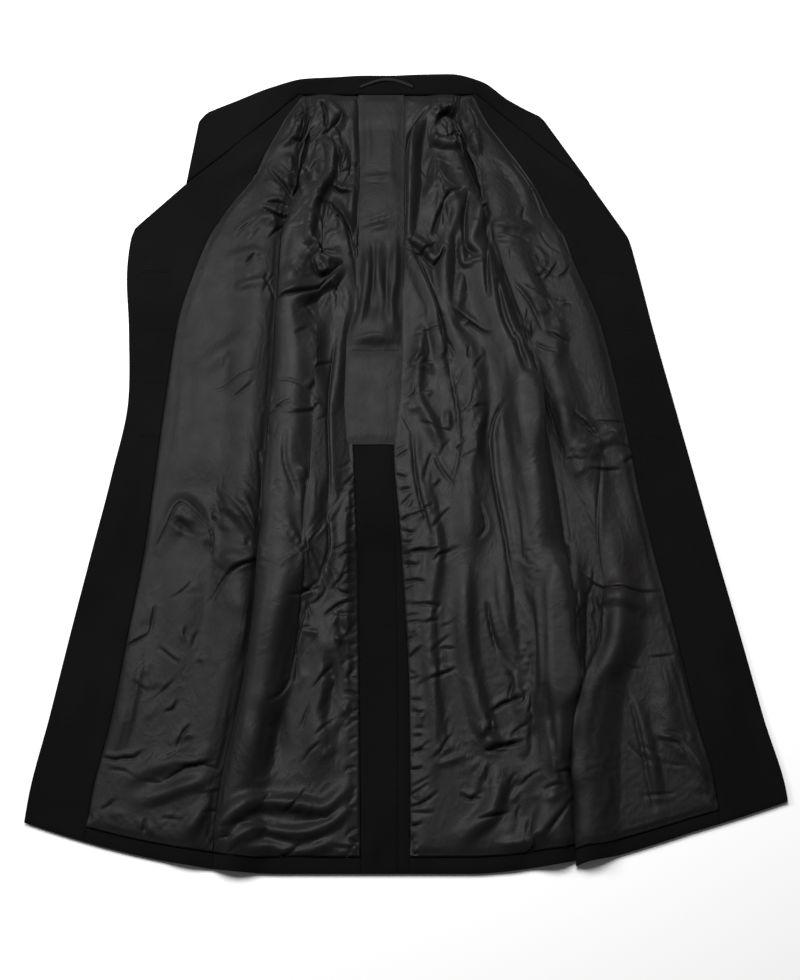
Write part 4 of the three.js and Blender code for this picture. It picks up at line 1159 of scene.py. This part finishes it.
def buttonholes(name, material):
    """All worked buttonholes of both facings, four on each side."""
    found = []
    for up in HOLE_STATIONS:
        found.append((float(edge_left(np.array(up))) + HOLE_INSET, up, 1))
        found.append((float(edge_right(np.array(up))) - HOLE_INSET, up, -1))
    lift = 2 * WOOL + SEAM + 0.1
    pairs = [buttonhole_threads(x, up, side, lift) for x, up, side in found]
    starts, ends = (np.concatenate([p[k] for p in pairs]) for k in (0, 1))
    return thread_rows(name, starts, ends, HOLE_THREAD, material)


def seam_stitches(name, line, lift, pitch, length, radius, material):
    """A row of running stitches along a line of places, one every pitch."""
    line = np.asarray(line, float)
    run = np.concatenate([[0], np.cumsum(np.linalg.norm(np.diff(line, axis=0), axis=1))])
    at = np.arange(pitch, run[-1] - pitch, pitch)
    ends = []
    for along in (at, at + length):
        x, up = (np.interp(along, run, line[:, way]) for way in (0, 1))
        ends.append(lay_cloth(x, up, np.full(len(x), lift)))
    return thread_rows(name, ends[0], ends[1], radius, material, sides=4, rings=4)


# ---------------------------------------------------------------- finishes


def group_of(name, inputs, outputs):
    """An empty shader node group with float and vector sockets."""
    group = bpy.data.node_groups.new(name, "ShaderNodeTree")
    for label, kind, value in inputs:
        socket = group.interface.new_socket(label, in_out="INPUT", socket_type=kind)
        if value is not None:
            socket.default_value = value
    for label, kind in outputs:
        group.interface.new_socket(label, in_out="OUTPUT", socket_type=kind)
    return group, group.nodes.new("NodeGroupInput"), group.nodes.new("NodeGroupOutput")


def math_node(tree, operation, a, b=None, c=None):
    node = tree.nodes.new("ShaderNodeMath")
    node.operation = operation
    for k, value in enumerate((a, b, c)):
        if value is None:
            continue
        if isinstance(value, (int, float)):
            node.inputs[k].default_value = value
        else:
            tree.links.new(value, node.inputs[k])
    return node.outputs[0]


def noise_node(tree, vector, scale, detail, roughness=0.5, distortion=0.0):
    node = tree.nodes.new("ShaderNodeTexNoise")
    node.inputs["Scale"].default_value = scale
    node.inputs["Detail"].default_value = detail
    node.inputs["Roughness"].default_value = roughness
    node.inputs["Distortion"].default_value = distortion
    tree.links.new(vector, node.inputs["Vector"])
    return node.outputs["Fac"]


def satin_weave():
    """Group: the lining's fine twill. Height is the weighted sum of the straight and the slanting
    threads, each an absolute sine at the given count to the metre, and Slub is a slow unevenness
    of the yarn along the cloth."""
    group, given, out = group_of(
        "satin_weave",
        [("Vector", "NodeSocketVector", None), ("Threads", "NodeSocketFloat", SATIN_THREADS)],
        [("Height", "NodeSocketFloat"), ("Slub", "NodeSocketFloat")],
    )
    split = group.nodes.new("ShaderNodeSeparateXYZ")
    group.links.new(given.outputs["Vector"], split.inputs[0])
    x, y, threads = split.outputs[0], split.outputs[1], given.outputs["Threads"]
    turns = math_node(group, "MULTIPLY", threads, math.pi)
    straight = math_node(group, "MULTIPLY", x, turns)
    half_turns = math_node(group, "MULTIPLY", turns, 0.5)
    slant = math_node(group, "MULTIPLY", math_node(group, "ADD", x, y), half_turns)
    parts = []
    for run, weight in ((straight, 0.4), (slant, 0.6)):
        thread = math_node(group, "ABSOLUTE", math_node(group, "SINE", run))
        parts.append(math_node(group, "MULTIPLY", thread, weight))
    height = math_node(group, "ADD", *parts)
    stretch = group.nodes.new("ShaderNodeMapping")
    stretch.inputs["Scale"].default_value = (14.0, 1.6, 1.0)
    group.links.new(given.outputs["Vector"], stretch.inputs["Vector"])
    slub = noise_node(group, stretch.outputs[0], 9.0, 3.0)
    group.links.new(height, out.inputs["Height"])
    group.links.new(slub, out.inputs["Slub"])
    return group


def crushed():
    """Group: the fine sharp wrinkles of handled satin. Height is 1 - |2n - 1| of a bent noise n, so
    it has thin crests, at two sizes, under a slow mask that leaves some patches smooth."""
    group, given, out = group_of(
        "crushed", [("Vector", "NodeSocketVector", None)], [("Height", "NodeSocketFloat")]
    )
    stretch = group.nodes.new("ShaderNodeMapping")
    stretch.inputs["Scale"].default_value = (1.0, 0.55, 1.0)
    group.links.new(given.outputs["Vector"], stretch.inputs["Vector"])
    parts = []
    for scale, weight in ((26.0, 1.0), (75.0, 0.4)):
        bent = noise_node(group, stretch.outputs[0], scale, 2.0, 0.5, 1.2)
        crest = math_node(group, "ABSOLUTE", math_node(group, "MULTIPLY_ADD", bent, 2.0, -1.0))
        parts.append(math_node(group, "MULTIPLY", math_node(group, "SUBTRACT", 1.0, crest), weight))
    mask = noise_node(group, given.outputs["Vector"], 7.0, 2.0)
    height = math_node(group, "MULTIPLY", math_node(group, "ADD", *parts), mask)
    group.links.new(height, out.inputs["Height"])
    return group


def melton_nap():
    """Group: the felted face of the wool. Height is short fibre noise over a slow pile, and Fleck
    picks out single paler fibres."""
    group, given, out = group_of(
        "melton_nap",
        [("Vector", "NodeSocketVector", None), ("Fibre", "NodeSocketFloat", MELTON_FIBRES)],
        [("Height", "NodeSocketFloat"), ("Fleck", "NodeSocketFloat")],
    )
    fine = group.nodes.new("ShaderNodeTexNoise")
    fine.inputs["Detail"].default_value = 4.0
    fine.inputs["Roughness"].default_value = 0.65
    group.links.new(given.outputs["Fibre"], fine.inputs["Scale"])
    group.links.new(given.outputs["Vector"], fine.inputs["Vector"])
    pile = noise_node(group, given.outputs["Vector"], 160.0, 3.0, 0.6, 0.4)
    short = math_node(group, "MULTIPLY", fine.outputs["Fac"], 0.5)
    height = math_node(group, "ADD", short, math_node(group, "MULTIPLY", pile, 0.8))
    fleck = math_node(group, "POWER", noise_node(group, given.outputs["Vector"], 520.0, 2.0), 7.0)
    group.links.new(height, out.inputs["Height"])
    group.links.new(fleck, out.inputs["Fleck"])
    return group


def handling():
    """Group: slow unevenness from wear, pressing and dust, from 0 to 1, at a given size."""
    group, given, out = group_of(
        "handling",
        [("Vector", "NodeSocketVector", None), ("Scale", "NodeSocketFloat", 6.0)],
        [("Amount", "NodeSocketFloat")],
    )
    noise = group.nodes.new("ShaderNodeTexNoise")
    noise.inputs["Detail"].default_value = 4.0
    noise.inputs["Roughness"].default_value = 0.55
    group.links.new(given.outputs["Scale"], noise.inputs["Scale"])
    group.links.new(given.outputs["Vector"], noise.inputs["Vector"])
    ramp = group.nodes.new("ShaderNodeMapRange")
    ramp.inputs["From Min"].default_value, ramp.inputs["From Max"].default_value = 0.32, 0.68
    group.links.new(noise.outputs["Fac"], ramp.inputs["Value"])
    group.links.new(ramp.outputs[0], out.inputs["Amount"])
    return group


WEAVE, CRUSHED, NAP, HANDLING = satin_weave(), crushed(), melton_nap(), handling()


def new_material(name):
    material = bpy.data.materials.new(name)
    material.use_nodes = True
    tree = material.node_tree
    shader = tree.nodes["Principled BSDF"]
    return material, tree, shader


def use_group(tree, group, **links):
    node = tree.nodes.new("ShaderNodeGroup")
    node.node_tree = group
    for label, value in links.items():
        if isinstance(value, (int, float)):
            node.inputs[label].default_value = value
        else:
            tree.links.new(value, node.inputs[label])
    return node


def mix_colour(tree, factor, a, b):
    node = tree.nodes.new("ShaderNodeMix")
    node.data_type = "RGBA"
    tree.links.new(factor, node.inputs["Factor"])
    for label, value in (("A", a), ("B", b)):
        socket = [s for s in node.inputs if s.name == label and s.type == "RGBA"][0]
        if isinstance(value, tuple):
            socket.default_value = (*value, 1.0)
        else:
            tree.links.new(value, socket)
    return [s for s in node.outputs if s.type == "RGBA"][0]


def bump(tree, shader, height, distance, strength=1.0, before=None):
    node = tree.nodes.new("ShaderNodeBump")
    node.inputs["Distance"].default_value = distance
    node.inputs["Strength"].default_value = strength
    tree.links.new(height, node.inputs["Height"])
    if before is not None:
        tree.links.new(before, node.inputs["Normal"])
    tree.links.new(node.outputs[0], shader.inputs["Normal"])
    return node.outputs[0]


def wool_material(name, base, fleck):
    """Melton: a near-black felted face with a short nap, a faint sheen and stray pale fibres."""
    material, tree, shader = new_material(name)
    coordinates = tree.nodes.new("ShaderNodeTexCoord")
    nap = use_group(tree, NAP, Vector=coordinates.outputs["Object"], Fibre=MELTON_FIBRES)
    worn = use_group(tree, HANDLING, Vector=coordinates.outputs["Object"], Scale=7.0)
    dark = tuple(0.72 * c for c in base)
    colour = mix_colour(tree, worn.outputs["Amount"], dark, base)
    colour = mix_colour(tree, nap.outputs["Fleck"], colour, fleck)
    tree.links.new(colour, shader.inputs["Base Color"])
    shader.inputs["Roughness"].default_value = MELTON_GLOSS["roughness"]
    shader.inputs["Specular IOR Level"].default_value = MELTON_GLOSS["specular"]
    shader.inputs["Sheen Weight"].default_value = MELTON_GLOSS["sheen"]
    shader.inputs["Sheen Roughness"].default_value = MELTON_GLOSS["sheen_roughness"]
    shader.inputs["Sheen Tint"].default_value = (0.8, 0.85, 0.9, 1.0)
    bump(tree, shader, nap.outputs["Height"], 0.0007, 0.7)
    return material


def lining_material(name, base, warm, roughness, warmth=0.5):
    """Satin lining: fine twill with a soft gloss, crushed in small wrinkles, and duller and warmer
    in slow patches."""
    material, tree, shader = new_material(name)
    coordinates = tree.nodes.new("ShaderNodeTexCoord")
    weave = use_group(tree, WEAVE, Vector=coordinates.outputs["UV"], Threads=SATIN_THREADS)
    slow = use_group(tree, HANDLING, Vector=coordinates.outputs["Object"], Scale=4.5)
    small = use_group(tree, HANDLING, Vector=coordinates.outputs["UV"], Scale=38.0)
    warm_share = math_node(tree, "MULTIPLY", slow.outputs["Amount"], warmth)
    colour = mix_colour(tree, warm_share, base, warm)
    slub = math_node(tree, "MULTIPLY", weave.outputs["Slub"], 0.35)
    colour = mix_colour(tree, slub, colour, tuple(1.5 * c for c in base))
    tree.links.new(colour, shader.inputs["Base Color"])
    least = roughness - SATIN_GLOSS["uneven"] / 2
    dulled = math_node(tree, "MULTIPLY_ADD", small.outputs["Amount"], SATIN_GLOSS["uneven"], least)
    tree.links.new(dulled, shader.inputs["Roughness"])
    shader.inputs["Specular IOR Level"].default_value = SATIN_GLOSS["specular"]
    shader.inputs["Sheen Weight"].default_value = SATIN_GLOSS["sheen"]
    shader.inputs["Sheen Roughness"].default_value = SATIN_GLOSS["sheen_roughness"]
    fine = bump(tree, shader, weave.outputs["Height"], 0.00008, 0.5)
    wrinkled = use_group(tree, CRUSHED, Vector=coordinates.outputs["UV"])
    bump(tree, shader, wrinkled.outputs["Height"], 0.0024, 0.8, before=fine)
    return material


def thread_material(name, colour):
    """Twisted silk thread: fine slanting ribs and a dull gloss."""
    material, tree, shader = new_material(name)
    coordinates = tree.nodes.new("ShaderNodeTexCoord")
    ribs = noise_node(tree, coordinates.outputs["Object"], 2600.0, 2.0)
    shaded = mix_colour(tree, ribs, tuple(0.6 * c for c in colour), colour)
    tree.links.new(shaded, shader.inputs["Base Color"])
    shader.inputs["Roughness"].default_value = 0.7
    shader.inputs["Specular IOR Level"].default_value = 0.08
    bump(tree, shader, ribs, 0.0002, 0.6)
    return material


def brass_material(name):
    """Plain domed brass, dulled in patches."""
    material, tree, shader = new_material(name)
    coordinates = tree.nodes.new("ShaderNodeTexCoord")
    worn = use_group(tree, HANDLING, Vector=coordinates.outputs["Object"], Scale=160.0)
    colour = mix_colour(tree, worn.outputs["Amount"], (0.46, 0.28, 0.07), (0.60, 0.40, 0.13))
    tree.links.new(colour, shader.inputs["Base Color"])
    dulled = math_node(tree, "MULTIPLY_ADD", worn.outputs["Amount"], 0.2, 0.24)
    tree.links.new(dulled, shader.inputs["Roughness"])
    shader.inputs["Metallic"].default_value = 1.0
    bump(tree, shader, worn.outputs["Amount"], 0.0003, 0.25)
    return material


DRAFT = bpy.data.materials.new("draft")
MELTON = wool_material("black melton", (0.0044, 0.0044, 0.0046), (0.013, 0.013, 0.014))
BACK_SATIN = lining_material(
    "grey satin of the back", (0.0082, 0.0081, 0.0081), (0.0092, 0.0088, 0.0089), 0.50)
FRONT_SATIN = lining_material(
    "grey satin of the fronts", (0.0070, 0.0066, 0.0067), (0.0102, 0.0087, 0.0090), 0.54, 0.8)
STRIP_SATIN = lining_material(
    "grey satin of the strip", (0.0080, 0.0077, 0.0078), (0.0092, 0.0086, 0.0087), 0.56)
STRAP = lining_material("strap satin", (0.007, 0.007, 0.0072), (0.009, 0.009, 0.0095), 0.7)
THREAD = thread_material("black silk thread", (0.007, 0.007, 0.0075))
BRASS = brass_material("domed brass")

# ---------------------------------------------------------------- the coat


def cut(piece, node):
    """The piece stands for its CAD node, which it hides, and rides on the coat's one body."""
    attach(piece, "root")
    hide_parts(node)
    return piece


front_side_left, back_side_left = beside("side_left", -1), beside("side_left", 1)
back_side_right, front_side_right = beside("side_right", -1), beside("side_right", 1)
vent_left, vent_right = centre_line("vent_left"), centre_line("vent_right")
stay_left, stay_right = centre_line("stay_left"), centre_line("stay_right")
back_seam = centre_line("back_seam")
lining_side = {
    "front_left": beside("side_left", -1, LINING_GAPE),
    "back_left": beside("side_left", 1, LINING_GAPE),
    "back_right": beside("side_right", -1, LINING_GAPE),
    "front_right": beside("side_right", 1, LINING_GAPE),
}
on_wool = WOOL + SEAM

WOOL_PANELS = {
    "front_left": (edge_left, front_side_left, 0, COAT_LENGTH, 0.0, False),
    "front_right": (front_side_right, edge_right, 0, COAT_LENGTH, 0.0, True),
    "back_left": (back_side_left, back_seam, 0, COAT_LENGTH, 0.0, False),
    "back_right": (back_seam, back_side_right, 0, COAT_LENGTH, 0.0, False),
    "facing_left": (edge_left, face_left, 0, COAT_LENGTH, on_wool, False),
    "facing_right": (face_right, edge_right, 0, COAT_LENGTH, on_wool, True),
    "hem_front_left": (face_left, front_side_left, 0, HEM_TURN, on_wool, False),
    "hem_front_right": (front_side_right, face_right, 0, HEM_TURN, on_wool, True),
    "hem_back_left": (back_side_left, vent_left, 0, HEM_TURN, on_wool, False),
    "hem_back_right": (vent_right, back_side_right, 0, HEM_TURN, on_wool, False),
    "vent_facing": (vent_left, back_seam, 0, VENT_TOP, on_wool, False),
    "vent_underlap": (back_seam, vent_right, 0, VENT_TOP, on_wool, False),
}
LINING_PANELS = {
    "lining_front_left": (face_left, lining_side["front_left"], False, FRONT_SATIN, []),
    "lining_front_right": (lining_side["front_right"], face_right, True, FRONT_SATIN, []),
    "lining_back_left": (lining_side["back_left"], vent_left, False, BACK_SATIN,
                         seam_tucks(vent_left, -1, 20, VENT_TOP, 7)),
    "lining_back_right": (vent_right, lining_side["back_right"], False, BACK_SATIN,
                          seam_tucks(vent_right, 1, 20, VENT_TOP, 11)),
}

pieces = {}
for node, (left, right, bottom, top, under, overhang) in WOOL_PANELS.items():
    pieces[node] = wool_panel(node + "_wool", left, right, bottom, top, under, MELTON, overhang)
for node, (left, right, overhang, satin, tucks) in LINING_PANELS.items():
    pieces[node] = lining_panel(node + "_satin", left, right, overhang, satin, tucks)
pieces["vent_stay"] = strip_panel(
    "vent_stay_satin", stay_left, stay_right, VENT_TOP, STAY_TOP, STRIP_SATIN)
pieces["centre_strip"] = strip_panel(
    "centre_strip_satin", stay_left, stay_right, STAY_TOP - STRIP_LAP, COAT_LENGTH - 1, STRIP_SATIN)
for node, piece in pieces.items():
    cut(piece, node)

hanger = hanger_piece(STRAP)
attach(hanger, "root")
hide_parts("hanger_loop")
cut(collar_piece(MELTON), "collar")
for side, sleeve in SLEEVES.items():
    sleeve_cloth = sleeve_piece(f"sleeve_{side}_wool", sleeve, MELTON)
    cut(sleeve_cloth, f"sleeve_{side}")

sewing = [buttonholes("buttonhole_stitches", THREAD)]
for row, above in enumerate(STRIP_THREAD["rows"]):
    line = np.stack([np.linspace(*STRIP_THREAD["ends"], 40), np.full(40, STAY_TOP + above)], -1)
    sewing.append(seam_stitches(
        f"strip_hem_stitches_{row + 1}", line, WOOL + STRIP_THREAD["above"], STRIP_THREAD["pitch"],
        STRIP_THREAD["length"], STRIP_THREAD["radius"], THREAD))
for piece in sewing:
    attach(piece, "root")

for node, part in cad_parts.items():
    if node.startswith("button"):
        part.data.materials.clear()
        part.data.materials.append(BRASS)

# ---------------------------------------------------------------- floor, light and camera


def plain_floor():
    """A wide pale floor just under the coat."""
    material, _, shader = new_material("pale floor")
    shader.inputs["Base Color"].default_value = (0.97, 0.97, 0.97, 1)
    shader.inputs["Roughness"].default_value = 0.9
    shader.inputs["Specular IOR Level"].default_value = 0.0
    mesh = bpy.data.meshes.new("floor")
    half, under = 6.0, -0.0005
    corners = [(x * half, y * half, under) for x, y in ((-1, -1), (1, -1), (1, 1), (-1, 1))]
    mesh.from_pydata(corners, [], [(0, 1, 2, 3)])
    mesh.materials.append(material)
    floor = bpy.data.objects.new("floor", mesh)
    bpy.context.scene.collection.objects.link(floor)


def soft_light(name, place, aim, size, power):
    """A square soft light at a place, turned to its aim."""
    data = bpy.data.lights.new(name, "AREA")
    data.shape = "RECTANGLE"
    data.size, data.size_y = size
    data.energy = power
    light = bpy.data.objects.new(name, data)
    light.location = place
    way = np.array(aim) - np.array(place)
    tilt = math.atan2(math.hypot(way[0], way[1]), -way[2])
    light.rotation_euler = (tilt, 0, math.atan2(way[1], way[0]) - math.pi / 2)
    bpy.context.scene.collection.objects.link(light)


def soft_world(strength):
    world = bpy.data.worlds.new("studio")
    world.use_nodes = True
    world.node_tree.nodes["Background"].inputs["Color"].default_value = (1, 1, 1, 1)
    world.node_tree.nodes["Background"].inputs["Strength"].default_value = strength
    bpy.context.scene.world = world


def camera():
    """Looks down on the coat from beyond its hem, 68 degrees above the floor."""
    data = bpy.data.cameras.new("camera")
    data.lens, data.sensor_width = 46.0, 36.0
    view = bpy.data.objects.new("camera", data)
    view.location = (-0.0089, -0.7296, 1.570)
    view.rotation_euler = (math.radians(22), 0, 0)
    bpy.context.scene.collection.objects.link(view)
    bpy.context.scene.camera = view


plain_floor()
soft_world(0.09)
soft_light("overhead", (-0.25, 0.95, 2.1), (0, 0.1, 0), (1.4, 1.3), 72)
soft_light("side", (-2.3, 0.9, 1.8), (0, 0, 0), (0.9, 0.9), 42)
camera()
bpy.context.scene.view_settings.view_transform = "Standard"
